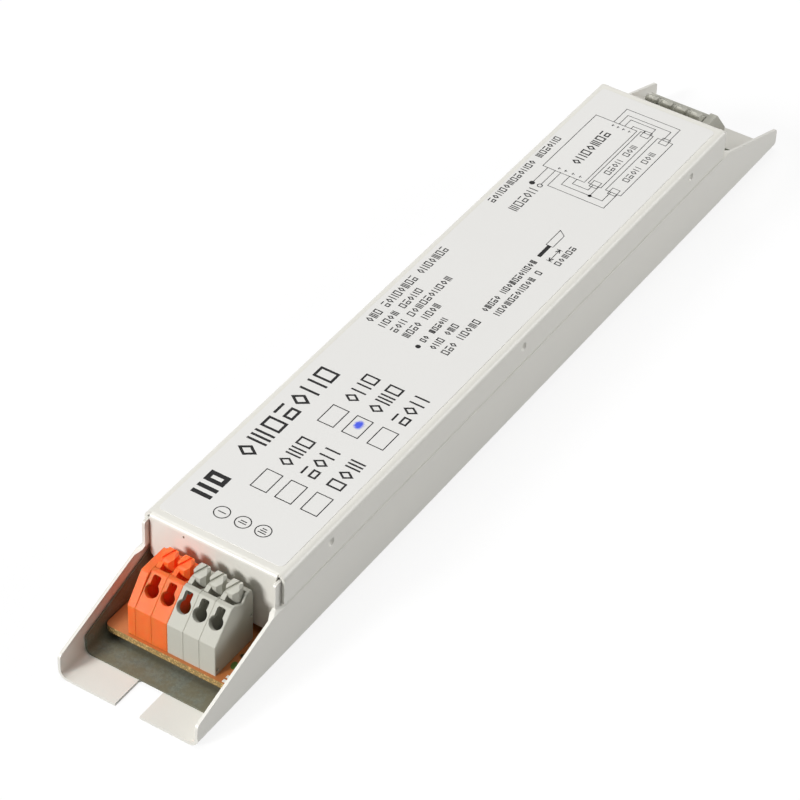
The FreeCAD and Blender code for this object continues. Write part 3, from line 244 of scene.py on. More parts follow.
def wound_turns():
    """Ridges of wire wound side by side, as a height along one axis, with painted shade in the groove between turns.
    """
    effect, given, result = new_effect(
        "wound_turns",
        {"Along": (FLOAT, 0.0), "Pitch": (FLOAT, 0.0003),
         "Height": (FLOAT, 0.0001)},
        {"Gap": FLOAT, "Normal": VECTOR})
    turns = math_node(effect, "DIVIDE", given["Along"], given["Pitch"])
    ridge = math_node(effect, "ABSOLUTE", math_node(effect, "SINE", math_node(effect, "MULTIPLY", turns, math.pi)))
    bump = add_node(effect, "ShaderNodeBump", {"Strength": 1.0, "Distance": given["Height"], "Height": ridge})
    # Painted shade: a mask that is 1 where the ridge drops into the groove between two turns.
    painted_groove_shade = span_of(effect, ridge, 0.0, 0.45, 1.0, 0.0)
    effect.links.new(painted_groove_shade, result["Gap"])
    effect.links.new(bump.outputs["Normal"], result["Normal"])
    return effect


def place_effect(tree, builder, inputs):
    """Outputs of a shared node group in a material; the group has its builder's name and is built once."""
    group = bpy.data.node_groups.get(builder.__name__) or builder()
    return add_node(tree, "ShaderNodeGroup", inputs, node_tree=group).outputs


def empty_tree(owner):
    """Node tree of a new material or world, without the nodes that Blender puts in it."""
    owner.use_nodes = True
    owner.node_tree.nodes.clear()
    return owner.node_tree


def new_finish(name, **constants):
    """Material with a Principled shader; the constants are set on the shader's own sockets."""
    material = bpy.data.materials.new(name)
    tree = empty_tree(material)
    values = {label.replace("_", " "): value for label, value in constants.items()}
    shader = add_node(tree, "ShaderNodeBsdfPrincipled", values)
    add_node(tree, "ShaderNodeOutputMaterial", {"Surface": shader.outputs["BSDF"]})
    place = add_node(tree, "ShaderNodeTexCoord").outputs["Object"]
    return material, tree, shader, place


def join_shader(tree, shader, colour=None, roughness=None, normal=None):
    """Links what varies over the surface to the shader."""
    for label, socket in (("Base Color", colour), ("Roughness", roughness), ("Normal", normal)):
        if socket is not None:
            tree.links.new(socket, shader.inputs[label])


def grained_finish(name, colour, grain, height, patch, drift, roughness, roughness_drift=0.1, **constants):
    """Moulded, coated or dipped surface in one colour."""
    material, tree, shader, place = new_finish(name, **constants)
    grained = place_effect(tree, moulding_grain, {
        "Place": place, "Colour": (*colour, 1), "Grain": grain, "Height": height, "Patch": patch, "Drift": drift,
        "Roughness": roughness, "Roughness drift": roughness_drift})
    join_shader(tree, shader, grained["Colour"], grained["Roughness"], grained["Normal"])
    return material


def metal_finish(name, colour, stretch, width, roughness, height=0.000004):
    """Bare metal with the lines of its rolling."""
    material, tree, shader, place = new_finish(name, Metallic=1.0)
    lines = place_effect(tree, drawn_lines, {
        "Place": place, "Stretch": stretch, "Width": width, "Height": height, "Roughness": roughness})
    dull = dimmed(colour, 0.86)
    tone = mix_colours(tree, lines["Mask"], dull, colour)
    join_shader(tree, shader, tone, lines["Roughness"], lines["Normal"])
    return material


def case_paint_finish(finishes):
    """Satin coating on the folded sheets: faint ripple and a few darker flecks of dust."""
    material, tree, shader, place = new_finish("case_paint", Coat_Weight=0.12, Coat_Roughness=0.18)
    ripple = place_effect(tree, moulding_grain, {
        "Place": place, "Colour": (*finishes.case_paint, 1), "Grain": 0.0011, "Height": 0.000012, "Patch": 0.02,
        "Drift": 0.05, "Roughness": 0.36, "Roughness drift": 0.12})
    dust = place_effect(tree, flecks, {"Place": place, "Size": 0.0009, "Share": 0.08, "Softness": 0.02})
    speck = dimmed(finishes.case_paint, 0.86)
    colour = mix_colours(tree, math_node(tree, "MULTIPLY", dust["Mask"], 0.35), ripple["Colour"], speck)
    join_shader(tree, shader, colour, ripple["Roughness"], ripple["Normal"])
    return material


def label_film_finish(finishes):
    """Matt film with a fine tooth and the faint waviness of stuck foil."""
    material, tree, shader, place = new_finish("label_film")
    tooth = place_effect(tree, moulding_grain, {
        "Place": place, "Colour": (*finishes.label_film, 1), "Grain": 0.0003, "Height": 0.000002, "Patch": 0.03,
        "Drift": 0.03, "Roughness": 0.46, "Roughness drift": 0.08})
    sway = add_node(tree, "ShaderNodeTexNoise", {"Vector": place, "Scale": 55.0, "Detail": 1.0})
    wave = add_node(tree, "ShaderNodeBump",
                    {"Strength": 1.0, "Distance": 0.00004, "Height": sway.outputs["Fac"], "Normal": tooth["Normal"]})
    join_shader(tree, shader, tooth["Colour"], tooth["Roughness"], wave.outputs["Normal"])
    return material


def liner_finish(finishes):
    """Dark pressed board with pale and dark fibres."""
    material, tree, shader, place = new_finish("liner_board", Specular_IOR_Level=0.3)
    base = place_effect(tree, moulding_grain, {
        "Place": place, "Colour": (*finishes.liner, 1), "Grain": 0.00035, "Height": 0.00003, "Patch": 0.004,
        "Drift": 0.35, "Roughness": 0.72, "Roughness drift": 0.15})
    pale = place_effect(tree, flecks, {"Place": place, "Size": 0.0006, "Share": 0.34, "Softness": 0.16})
    warm = place_effect(tree, flecks, {"Place": place, "Size": 0.0031, "Share": 0.4, "Softness": 0.22})
    light = tuple(min(1.0, 1.5 * part) for part in finishes.liner)
    brown = (finishes.liner[0] * 1.1, finishes.liner[1] * 0.88, finishes.liner[2] * 0.62)
    colour = mix_colours(tree, math_node(tree, "MULTIPLY", pale["Mask"], 0.55), base["Colour"], light)
    colour = mix_colours(tree, math_node(tree, "MULTIPLY", warm["Mask"], 0.6), colour, brown)
    join_shader(tree, shader, colour, base["Roughness"], base["Normal"])
    return material


def laminate_finish(finishes):
    """Circuit board: lacquered brown faces with a faint weave, and a sawn golden edge with torn fibres."""
    material, tree, shader, place = new_finish("laminate", Coat_Weight=0.25, Coat_Roughness=0.25)
    face = place_effect(tree, moulding_grain, {
        "Place": place, "Colour": (*finishes.laminate, 1), "Grain": 0.0004, "Height": 0.000008, "Patch": 0.009,
        "Drift": 0.22, "Roughness": 0.42, "Roughness drift": 0.12})
    fibre = place_effect(tree, flecks, {"Place": place, "Size": 0.00045, "Share": 0.5, "Softness": 0.14})
    dark = dimmed(finishes.cut_edge, 0.42)
    edge = mix_colours(tree, fibre["Mask"], finishes.cut_edge, dark)
    normal = add_node(tree, "ShaderNodeNewGeometry").outputs["Normal"]
    upward = add_node(tree, "ShaderNodeSeparateXYZ", {0: normal}).outputs["Z"]
    on_face = math_node(tree, "GREATER_THAN", math_node(tree, "ABSOLUTE", upward), 0.5)
    colour = mix_colours(tree, on_face, edge, face["Colour"])
    join_shader(tree, shader, colour, face["Roughness"], face["Normal"])
    return material


def plastic_finish(name, colour, **constants):
    """Moulded pole: fine spark-eroded grain and a soft sheen."""
    return grained_finish(name, colour, 0.00028, 0.000007, 0.004, 0.07, 0.52, 0.12, **constants)


def winding_finish(name, colour, axis, pitch):
    """Enamelled wire wound side by side along one axis of the object, with painted shade in the grooves between
    turns.
    """
    material, tree, shader, place = new_finish(name, Metallic=0.35, Coat_Weight=0.6, Coat_Roughness=0.15)
    along = add_node(tree, "ShaderNodeSeparateXYZ", {0: place}).outputs[axis]
    turns = place_effect(tree, wound_turns, {"Along": along, "Pitch": pitch, "Height": pitch * 0.4})
    # Painted shade: the wire's colour darkened in the grooves between turns.
    dark = dimmed(colour, 0.3)
    shade = mix_colours(tree, turns["Gap"], colour, dark)
    tone = place_effect(tree, moulding_grain, {
        "Place": place, "Colour": shade, "Grain": 0.0005, "Height": 0.000002, "Patch": 0.002, "Drift": 0.2,
        "Roughness": 0.3, "Roughness drift": 0.1})
    join_shader(tree, shader, tone["Colour"], tone["Roughness"], turns["Normal"])
    return material


def ferrite_finish():
    """Dark sintered core with pale pits."""
    material, tree, shader, place = new_finish("ferrite")
    base = place_effect(tree, moulding_grain, {
        "Place": place, "Colour": (*screen_colour(62, 62, 66), 1), "Grain": 0.0003, "Height": 0.00002,
        "Patch": 0.003, "Drift": 0.25, "Roughness": 0.6, "Roughness drift": 0.15})
    pits = place_effect(tree, flecks, {"Place": place, "Size": 0.0003, "Share": 0.2, "Softness": 0.04})
    share = math_node(tree, "MULTIPLY", pits["Mask"], 0.5)
    colour = mix_colours(tree, share, base["Colour"], screen_colour(104, 104, 108))
    join_shader(tree, shader, colour, base["Roughness"], base["Normal"])
    return material


def banded_finish(name, body, band, pitch, share):
    """Lacquered round body with rings of another colour across it."""
    material, tree, shader, place = new_finish(name, Coat_Weight=0.4, Coat_Roughness=0.2)
    along = add_node(tree, "ShaderNodeSeparateXYZ", {0: place}).outputs["Y"]
    wave = math_node(tree, "FRACT", math_node(tree, "DIVIDE", along, pitch))
    ring = math_node(tree, "LESS_THAN", wave, share)
    tone = mix_colours(tree, ring, body, band)
    grained = place_effect(tree, moulding_grain, {
        "Place": place, "Colour": tone, "Grain": 0.0003, "Height": 0.000006, "Patch": 0.002, "Drift": 0.12,
        "Roughness": 0.35, "Roughness drift": 0.1})
    join_shader(tree, shader, grained["Colour"], grained["Roughness"], grained["Normal"])
    return material


def dress(material, *nodes):
    """Gives nodes of the case a finish."""
    for name in nodes:
        piece = frame["nodes"][name]
        if not piece.material_slots:
            piece.data.materials.append(material)
        for slot in piece.material_slots:
            slot.material = material


def nodes_like(start, kind):
    """Names of the poles' nodes of one strip and one kind, in order."""
    return sorted(name for name in frame["nodes"] if name.startswith(f"{start}_{kind}_"))


def nodes_of(slot):
    """Names of the nodes with one material slot, in the record's order."""
    return [piece["node"] for piece in frame["record"]["subparts"] if piece["material_slot"] == slot]


class BALLAST_OT_paint_case(bpy.types.Operator):
    """Coats the base channel and the top cover"""
    bl_idname = "ballast.paint_case"
    bl_label = "Paint the case"

    def execute(self, context):
        dress(case_paint_finish(context.scene.ballast_finishes), "base_channel", "top_cover")
        return {"FINISHED"}


class BALLAST_OT_cover_label(bpy.types.Operator):
    """Gives the label its matt film"""
    bl_idname = "ballast.cover_label"
    bl_label = "Label film"

    def execute(self, context):
        dress(label_film_finish(context.scene.ballast_finishes), "top_label")
        return {"FINISHED"}


class BALLAST_OT_line_case(bpy.types.Operator):
    """Finishes the insulating liner, the feet, the earth pillar and its screw"""
    bl_idname = "ballast.line_case"
    bl_label = "Liner, feet and earth pillar"

    def execute(self, context):
        dress(liner_finish(context.scene.ballast_finishes), "insulation_sheet")
        feet = grained_finish("natural_plastic", screen_colour(222, 219, 205), 0.0003, 0.000006, 0.003, 0.06, 0.45)
        dress(feet, "board_feet")
        zinc = metal_finish("zinc_plating", screen_colour(200, 203, 206), (1.0, 1.0, 0.2), 0.0004, 0.32)
        dress(zinc, "earth_pillar", "earth_screw")
        return {"FINISHED"}


class BALLAST_OT_finish_board(bpy.types.Operator):
    """Gives the circuit board its lacquered faces and sawn edge"""
    bl_idname = "ballast.finish_board"
    bl_label = "Circuit board"

    def execute(self, context):
        dress(laminate_finish(context.scene.ballast_finishes), "circuit_board")
        return {"FINISHED"}


class BALLAST_OT_colour_strips(bpy.types.Operator):
    """Colours the poles of both clamp strips, with two orange poles at the supply end"""
    bl_idname = "ballast.colour_strips"
    bl_label = "Clamp strips"

    def execute(self, context):
        finishes = context.scene.ballast_finishes
        grey = plastic_finish("grey_moulding", finishes.grey_plastic, Specular_IOR_Level=0.25)
        orange = plastic_finish("orange_moulding", finishes.orange_plastic, Specular_IOR_Level=0.3,
                                Subsurface_Weight=0.6, Subsurface_Radius=(0.004, 0.0005, 0.0002),
                                Subsurface_Scale=1.0)
        dress(orange, *nodes_of("orange_plastic"))
        dress(grey, *nodes_of("grey_plastic"))
        spring = metal_finish("spring_steel", screen_colour(196, 198, 202), (1.0, 0.05, 1.0), 0.0001, 0.22)
        dress(spring, *nodes_like("near", "spring"), *nodes_like("far", "spring"))
        tinned = metal_finish("tinned_copper", screen_colour(214, 208, 196), (1.0, 0.1, 1.0), 0.0002, 0.3)
        dress(tinned, "near_contacts", "far_contacts")
        return {"FINISHED"}


class BALLAST_OT_finish_wound_parts(bpy.types.Operator):
    """Finishes the cores, coils and bobbins of the filter, the drive ring and the lamp chokes"""
    bl_idname = "ballast.finish_wound_parts"
    bl_label = "Wound parts"

    def execute(self, context):
        copper = context.scene.ballast_finishes.copper
        dress(ferrite_finish(), "line_filter_core", "drive_ring", "lamp_choke_cores")
        dress(winding_finish("choke_wire", copper, "X", 0.0004), "lamp_choke_windings")
        dress(winding_finish("ring_wire", copper, "Y", 0.0006), "line_filter_windings", "drive_windings")
        bobbin = grained_finish("bobbin_plastic", screen_colour(46, 46, 48), 0.0003, 0.000008, 0.004, 0.1, 0.5)
        dress(bobbin, "lamp_choke_bobbins")
        return {"FINISHED"}


class BALLAST_OT_finish_capacitors(bpy.types.Operator):
    """Finishes the boxed, sleeved and dipped parts"""
    bl_idname = "ballast.finish_capacitors"
    bl_label = "Capacitors and dipped parts"

    def execute(self, context):
        yellow = grained_finish("film_box", screen_colour(222, 182, 74), 0.0003, 0.000005, 0.005, 0.06, 0.3)
        dress(yellow, "interference_capacitor", "blocking_capacitors", "tuning_capacitors")
        sleeve = banded_finish("capacitor_sleeve", screen_colour(38, 40, 52), screen_colour(168, 170, 174),
                               0.0131, 0.16)
        dress(sleeve, "bulk_capacitors")
        blue = grained_finish("dipped_coating", screen_colour(44, 84, 150), 0.0007, 0.00002, 0.003, 0.12, 0.28,
                              Coat_Weight=0.3)
        dress(blue, "varistor", "preheat_thermistors")
        return {"FINISHED"}


BANDED_PARTS = (  # material, colours of body and bands, distance of the bands, a band's share of it, nodes
    ("diode_body", (42, 42, 44), (196, 196, 196), 0.0074, 0.14, ("rectifier_diodes", "valley_diodes")),
    ("resistor_body", (206, 186, 140), (120, 62, 34), 0.0017, 0.4, ("resistors",)),
    ("trigger_body", (60, 96, 166), (22, 26, 40), 0.0031, 0.2, ("trigger_diode",)),
    ("fuse_body", (226, 220, 204), (190, 190, 188), 0.0081, 0.26, ("fuse",)),
)


class BALLAST_OT_finish_small_parts(bpy.types.Operator):
    """Finishes the fuse, resistors, diodes, transistors and heat sink"""
    bl_idname = "ballast.finish_small_parts"
    bl_label = "Small parts"

    def execute(self, context):
        black = grained_finish("moulding_compound", screen_colour(40, 40, 42), 0.0002, 0.00001, 0.003, 0.12, 0.55)
        dress(black, "power_transistors")
        for name, body, band, pitch, share, nodes in BANDED_PARTS:
            dress(banded_finish(name, screen_colour(*body), screen_colour(*band), pitch, share), *nodes)
        sink = metal_finish("aluminium_sheet", screen_colour(206, 208, 212), (0.04, 1.0, 1.0), 0.00025, 0.34)
        dress(sink, "heat_sink")
        return {"FINISHED"}


def ink_finish(name, colour, roughness):
    """Printing ink or paint on the label or the board."""
    return grained_finish(name, colour, 0.0001, 0.000001, 0.001, 0.12, roughness, Specular_IOR_Level=0.2)


DOT_SIDES, RING_SIDES, DIAMOND_SIDES = 20, 24, 4


def flat_place(middle, turn=0.0, size=(1.0, 1.0)):
    """Matrix that puts a unit shape on the sheet, in millimetres."""
    scale = Matrix.Diagonal((size[0], size[1], 1, 1))
    return Matrix.Translation(Vector(middle).to_3d()) @ Matrix.Rotation(turn, 4, "Z") @ scale


def unit_square(sheet, place):
    """Flat square with sides of one, where the matrix puts it."""
    return bmesh.ops.create_grid(sheet, x_segments=1, y_segments=1, size=0.5, matrix=place)


def unit_disc(sheet, place, segments):
    """Flat disc or regular polygon with a radius of one, where the matrix puts it."""
    return bmesh.ops.create_circle(sheet, cap_ends=True, segments=segments, radius=1, matrix=place)


def ink_bar(sheet, start, end, width, before=0.5, after=0.5):
    """Straight line with square ends that run past its points by shares of its width."""
    way = (Vector(end) - Vector(start)).normalized()
    low = Vector(start) - before * width * way
    high = Vector(end) + after * width * way
    place = flat_place((low + high) / 2, math.atan2(way.y, way.x), ((high - low).length, width))
    unit_square(sheet, place)


def ink_line(sheet, points, width):
    """Line through several points with right angles, where each corner belongs to the bar that leaves it."""
    last = len(points) - 2
    for index, (start, end) in enumerate(zip(points, points[1:])):
        ink_bar(sheet, start, end, width, after=0.5 if index == last else -0.5)


def hollow_out(sheet, made, width):
    """Leaves of a flat face only a rim of the width given."""
    face = made["verts"][0].link_faces[0]
    bmesh.ops.inset_region(sheet, faces=[face], thickness=width, use_even_offset=True, use_boundary=True)
    sheet.faces.remove(face)


def ink_box(sheet, low, high, width):
    """Outline of an upright rectangle, whose line lies on both sides of the corners given."""
    rim = Vector((width, width))
    size = Vector(high) - Vector(low) + rim
    place = flat_place((Vector(low) + Vector(high)) / 2, 0, size)
    hollow_out(sheet, unit_square(sheet, place), width)


def ink_dot(sheet, middle, radius):
    """Solid round dot."""
    unit_disc(sheet, flat_place(middle, 0, (radius, radius)), DOT_SIDES)


def ink_ring(sheet, middle, radii, width, segments=RING_SIDES):
    """Round or oval line whose outer edge has the radii given."""
    place = flat_place(middle, 0, radii)
    hollow_out(sheet, unit_disc(sheet, place, segments), width)


# Plain marks: two of them are upright bars, given by their shares of the width, and the rest are rims
MARK_BARS = {"posts": (0, 1), "fence": (0, 0.5, 1)}
MARK_ORDER = ("diamond", "fence", "frame", "tiles", "diamond", "posts", "frame")
TILE_SHARE = 0.45  # height of the lower tile, as a share of the mark's
CELL_SHARE = 0.74  # widest mark, as a share of the distance to the next
SLIM_SHARE = 0.8  # widest mark, as a share of its height


def ink_mark(sheet, kind, low, width, height, line):
    """One plain mark in its cell."""
    low = Vector(low) + Vector((line, line)) / 2
    high = low + Vector((width - line, height - line))
    if kind == "diamond":
        ink_ring(sheet, (low + high) / 2, (width / 2, height / 2), line, DIAMOND_SIDES)
    elif kind == "frame":
        ink_box(sheet, low, high, line)
    elif kind == "tiles":
        ink_box(sheet, low, (high.x, low.y + TILE_SHARE * (high.y - low.y)), line)
        ink_bar(sheet, (low.x, high.y), high, line)
    else:
        for share in MARK_BARS[kind]:
            x = low.x + share * (high.x - low.x)
            ink_bar(sheet, (x, low.y), (x, high.y), line)


def ink_row(sheet, start, end, foot, height, groups, line, first=0):
    """Row of plain marks along the label, in groups with a blank between them."""
    cells = sum(groups) + len(groups) - 1
    pitch = (end - start) / cells
    width = min(CELL_SHARE * pitch, SLIM_SHARE * height)
    cell = 0
    mark = first
    for group in groups:
        for _ in range(group):
            kind = MARK_ORDER[mark % len(MARK_ORDER)]
            ink_mark(sheet, kind, (start + cell * pitch, foot), width, height, line)
            cell += 1
            mark += 1
        cell += 1


def mesh_object(shape, name, material):
    """Object in the scene with the finished shape as its mesh."""
    mesh = bpy.data.meshes.new(name)
    shape.to_mesh(mesh)
    shape.free()
    mesh.materials.append(material)
    thing = bpy.data.objects.new(name, mesh)
    bpy.context.scene.collection.objects.link(thing)
    return thing


def finished_piece(shape, name, material):
    """Makes the shape a piece of the ballast that keeps its place in its mesh."""
    bmesh.ops.recalc_face_normals(shape, faces=shape.faces)
    piece = mesh_object(shape, name, material)
    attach(piece, BODY)
    return piece


def printed_piece(sheet, name, material, base, film):
    """Raises flat shapes drawn in millimetres to a film of ink on a face that looks up."""
    raised = bmesh.ops.extrude_face_region(sheet, geom=sheet.faces[:])
    tops = [item for item in raised["geom"] if isinstance(item, bmesh.types.BMVert)]
    bmesh.ops.translate(sheet, verts=tops, vec=(0, 0, film / MM))
    bmesh.ops.scale(sheet, verts=sheet.verts, vec=(MM, MM, MM))
    bmesh.ops.translate(sheet, verts=sheet.verts, vec=(0, 0, base))
    return finished_piece(sheet, name, material)


def print_on_label(sheet, name, material):
    film = bpy.context.scene.ballast_print.film
    return printed_piece(sheet, name, material, LABEL_TOP, film)


def label_ink():
    """The ink of the label, made once."""
    colour = bpy.context.scene.ballast_print.ink
    return bpy.data.materials.get("label_ink") or ink_finish("label_ink", colour, 0.5)


# Layout of the label in millimetres: x along the case, y across it, both from its middle
BOLD_START, BOLD_END = -72.8, -64.9
HEADING_START, HEADING_END = -59.5, -29.2
HEADING_FOOT, HEADING_HEIGHT = 7.1, 4.4
TERMINAL_MARKS = [(-74.2, 3.4), (-74.2, -1.2), (-74.0, -5.5)]
TERMINAL_RING, TERMINAL_RING_SIDES = 1.65, 32
TERMINAL_BAR_PITCH = 0.55
TERMINAL_BAR_HALF, TERMINAL_BAR_STEP = 0.75, 0.18  # half the first bar, and how much less each next one has
BOX_SIZE = Vector((5.4, 3.5))
BOX_COLUMNS = (-65.4, -43.65)
BOX_ROWS = (-0.1, -5.5, -11.15)
CAPTION_REACH = (7.9, 17.3)  # start and end of a box's caption, from the box's left side
CAPTION_MARGIN = 0.1  # between a box's height and that of its caption
TICKED_BOX = (1, 1)  # column and row
NOTE_LEFT = -13.9
NOTES = [  # start, end, foot, height, groups of marks
    (NOTE_LEFT, 14.2, 10.7, 1.9, (3, 8, 7)),
    (NOTE_LEFT, 0.4, 7.9, 1.6, (4, 5)),
    (NOTE_LEFT, 6.9, 5.2, 1.6, (3, 10)),
    (NOTE_LEFT, -1.6, 2.4, 1.7, (4, 4)),
    (-13.2, -4.5, -0.9, 1.4, (2, 5)),
    (NOTE_LEFT, -4.8, -3.7, 1.6, (3, 3)),
    (NOTE_LEFT, -1.3, -6.5, 1.7, (3, 5)),
    (1.6, 20.9, -5.8, 1.5, (5, 11)),
    (1.9, 18.6, -8.4, 1.5, (11, 1)),
    (32.1, 59.4, 11.5, 1.6, (12, 6)),
    (32.3, 41.2, 6.2, 2.1, (5,)),
    (22.0, 29.2, -10.0, 1.4, (5,)),
]
NOTE_DOT = (-14.9, -0.4)
NOTE_DOT_RADIUS = 0.55


class BALLAST_OT_print_heading(bpy.types.Operator):
    """Prints the large row of plain marks, two bold and seven thin"""
    bl_idname = "ballast.print_heading"
    bl_label = "Heading"

    def execute(self, context):
        lines = context.scene.ballast_print
        sheet = bmesh.new()
        ink_row(sheet, BOLD_START, BOLD_END, HEADING_FOOT, HEADING_HEIGHT, (2,), lines.bold_line / MM, 5)
        ink_row(sheet, HEADING_START, HEADING_END, HEADING_FOOT, HEADING_HEIGHT, (7,), lines.heading_line / MM)
        print_on_label(sheet, "label_heading", label_ink())
        return {"FINISHED"}


class BALLAST_OT_print_terminal_marks(bpy.types.Operator):
    """Prints the three ringed marks beside the supply strip"""
    bl_idname = "ballast.print_terminal_marks"
    bl_label = "Terminal marks"

    def execute(self, context):
        line = context.scene.ballast_print.box_line / MM
        sheet = bmesh.new()
        for count, (x, y) in enumerate(TERMINAL_MARKS, start=1):
            ink_ring(sheet, (x, y), (TERMINAL_RING, TERMINAL_RING), line, TERMINAL_RING_SIDES)
            for bar in range(count):
                offset = (bar - (count - 1) / 2) * TERMINAL_BAR_PITCH
                half = TERMINAL_BAR_HALF - TERMINAL_BAR_STEP * bar
                ink_bar(sheet, (x + offset, y - half), (x + offset, y + half), line)
        print_on_label(sheet, "terminal_marks", label_ink())
        return {"FINISHED"}


class BALLAST_OT_print_tick_boxes(bpy.types.Operator):
    """Prints six tick boxes, each with three plain marks beside it"""
    bl_idname = "ballast.print_tick_boxes"
    bl_label = "Tick boxes"

    def execute(self, context):
        lines = context.scene.ballast_print
        boxes, captions = bmesh.new(), bmesh.new()
        for column, left in enumerate(BOX_COLUMNS):
            for row, low in enumerate(BOX_ROWS):
                corner = Vector((left, low))
                ink_box(boxes, corner, corner + BOX_SIZE, lines.box_line / MM)
                start, end = (left + reach for reach in CAPTION_REACH)
                ink_row(captions, start, end, low + CAPTION_MARGIN, BOX_SIZE.y - 2 * CAPTION_MARGIN, (3,),
                        lines.caption_line / MM, 3 * row + 4 * column)
        print_on_label(boxes, "tick_boxes", label_ink())
        print_on_label(captions, "tick_box_captions", label_ink())
        return {"FINISHED"}


class BALLAST_OT_print_notes(bpy.types.Operator):
    """Prints the small rows of plain marks and the dot before one of them"""
    bl_idname = "ballast.print_notes"
    bl_label = "Notes"

    def execute(self, context):
        line = context.scene.ballast_print.note_line / MM
        sheet = bmesh.new()
        for index, (start, end, foot, height, groups) in enumerate(NOTES):
            ink_row(sheet, start, end, foot, height, groups, line, 5 * index)
        ink_dot(sheet, NOTE_DOT, NOTE_DOT_RADIUS)
        print_on_label(sheet, "label_notes", label_ink())
        return {"FINISHED"}


# Sketch of a stripped wire, with the length to strip under it
WIRE_START, WIRE_END, WIRE_Y = 22.3, 26.5, -5.0
WIRE_THICKNESS = 0.85
SLEEVE_REACH, SLEEVE_HALF, SLEEVE_SLANT = 5.6, 0.8, 1.2
STRIP_MARK_Y, STRIP_MARK_HALF = -7.4, 0.6
ARROW_LENGTH, ARROW_HALF = 0.9, 0.4
ARROW_LINE = 1.6  # times the other lines' width


class BALLAST_OT_print_wire_sketch(bpy.types.Operator):
    """Prints the stripped wire: black core, outlined sleeve and a measuring arrow"""
    bl_idname = "ballast.print_wire_sketch"
    bl_label = "Wire sketch"

    def execute(self, context):
        line = context.scene.ballast_print.rule_line / MM
        sheet = bmesh.new()
        ink_bar(sheet, (WIRE_START, WIRE_Y), (WIRE_END, WIRE_Y), WIRE_THICKNESS, 0, 0)
        low, high = WIRE_Y - SLEEVE_HALF, WIRE_Y + SLEEVE_HALF
        end = WIRE_END + SLEEVE_REACH
        ink_line(sheet, [(end - SLEEVE_SLANT, low), (WIRE_END, low), (WIRE_END, high), (end, high)], line)
        ink_bar(sheet, (end - SLEEVE_SLANT, low), (end, high), line)
        ink_bar(sheet, (WIRE_START, STRIP_MARK_Y), (WIRE_END, STRIP_MARK_Y), line)
        for x, inward in ((WIRE_START, 1), (WIRE_END, -1)):
            ink_bar(sheet, (x, STRIP_MARK_Y - STRIP_MARK_HALF), (x, STRIP_MARK_Y + STRIP_MARK_HALF), line)
            for side in (-1, 1):
                tip = (x + inward * ARROW_LENGTH, STRIP_MARK_Y + side * ARROW_HALF)
                ink_bar(sheet, (x, STRIP_MARK_Y), tip, ARROW_LINE * line)
        print_on_label(sheet, "wire_sketch", label_ink())
        return {"FINISHED"}


# Wiring diagram: a large box, two long lamps under it, and nested lines at both ends
UNIT_LOW, UNIT_HIGH = (48.7, 0.0), (70.5, 9.9)
LAMP_SPAN = (49.0, 70.8)
LAMP_ROWS = ((-3.75, -0.75), (-8.4, -4.85))
LAMP_TEXT = (53.8, 66.0, -0.75, 1.45)  # start, end, foot below the middle and height of a lamp's marks
CAP_SIZE = (2.2, 1.75)
CAP_INSET = 0.35
LEFT_NESTS = ((5.6, 43.45, -7.6), (3.5, 45.4, -6.15), (1.75, 46.9, -1.95))  # start height, far side, end height
RIGHT_NESTS = ((5.6, 76.1, -7.25), (4.3, 74.25, -6.05), (3.0, 73.2, -2.95), (1.45, 71.45, -1.5))
PIN_HEIGHTS = {-1: (6.7, 5.15, 3.4, 1.7), 1: (5.2, 4.0, 2.7, 1.3)}  # marks beside the left and right sides
PIN_INSET = 1.15
PIN_HALF, PIN_LOW, PIN_HIGH = 0.3, 0.35, 0.1  # half a pin's bar, and the reach of its stem down and up
SUPPLY_ENDS = ((42.4, 8.7), (42.5, 6.9))
SUPPLY_RADIUS = 0.62
SUPPLY_LINE = 1.4  # times the other lines' width
JOINT_DOT = (45.4, -3.2)
JOINT_RADIUS = 0.42
UNIT_ROW = (53.2, 66.9, 3.8, 2.2)  # start, end, foot and height of the marks in the large box
LAMP_ROW_LINE, UNIT_ROW_LINE = 0.8, 1.3  # times the notes' line


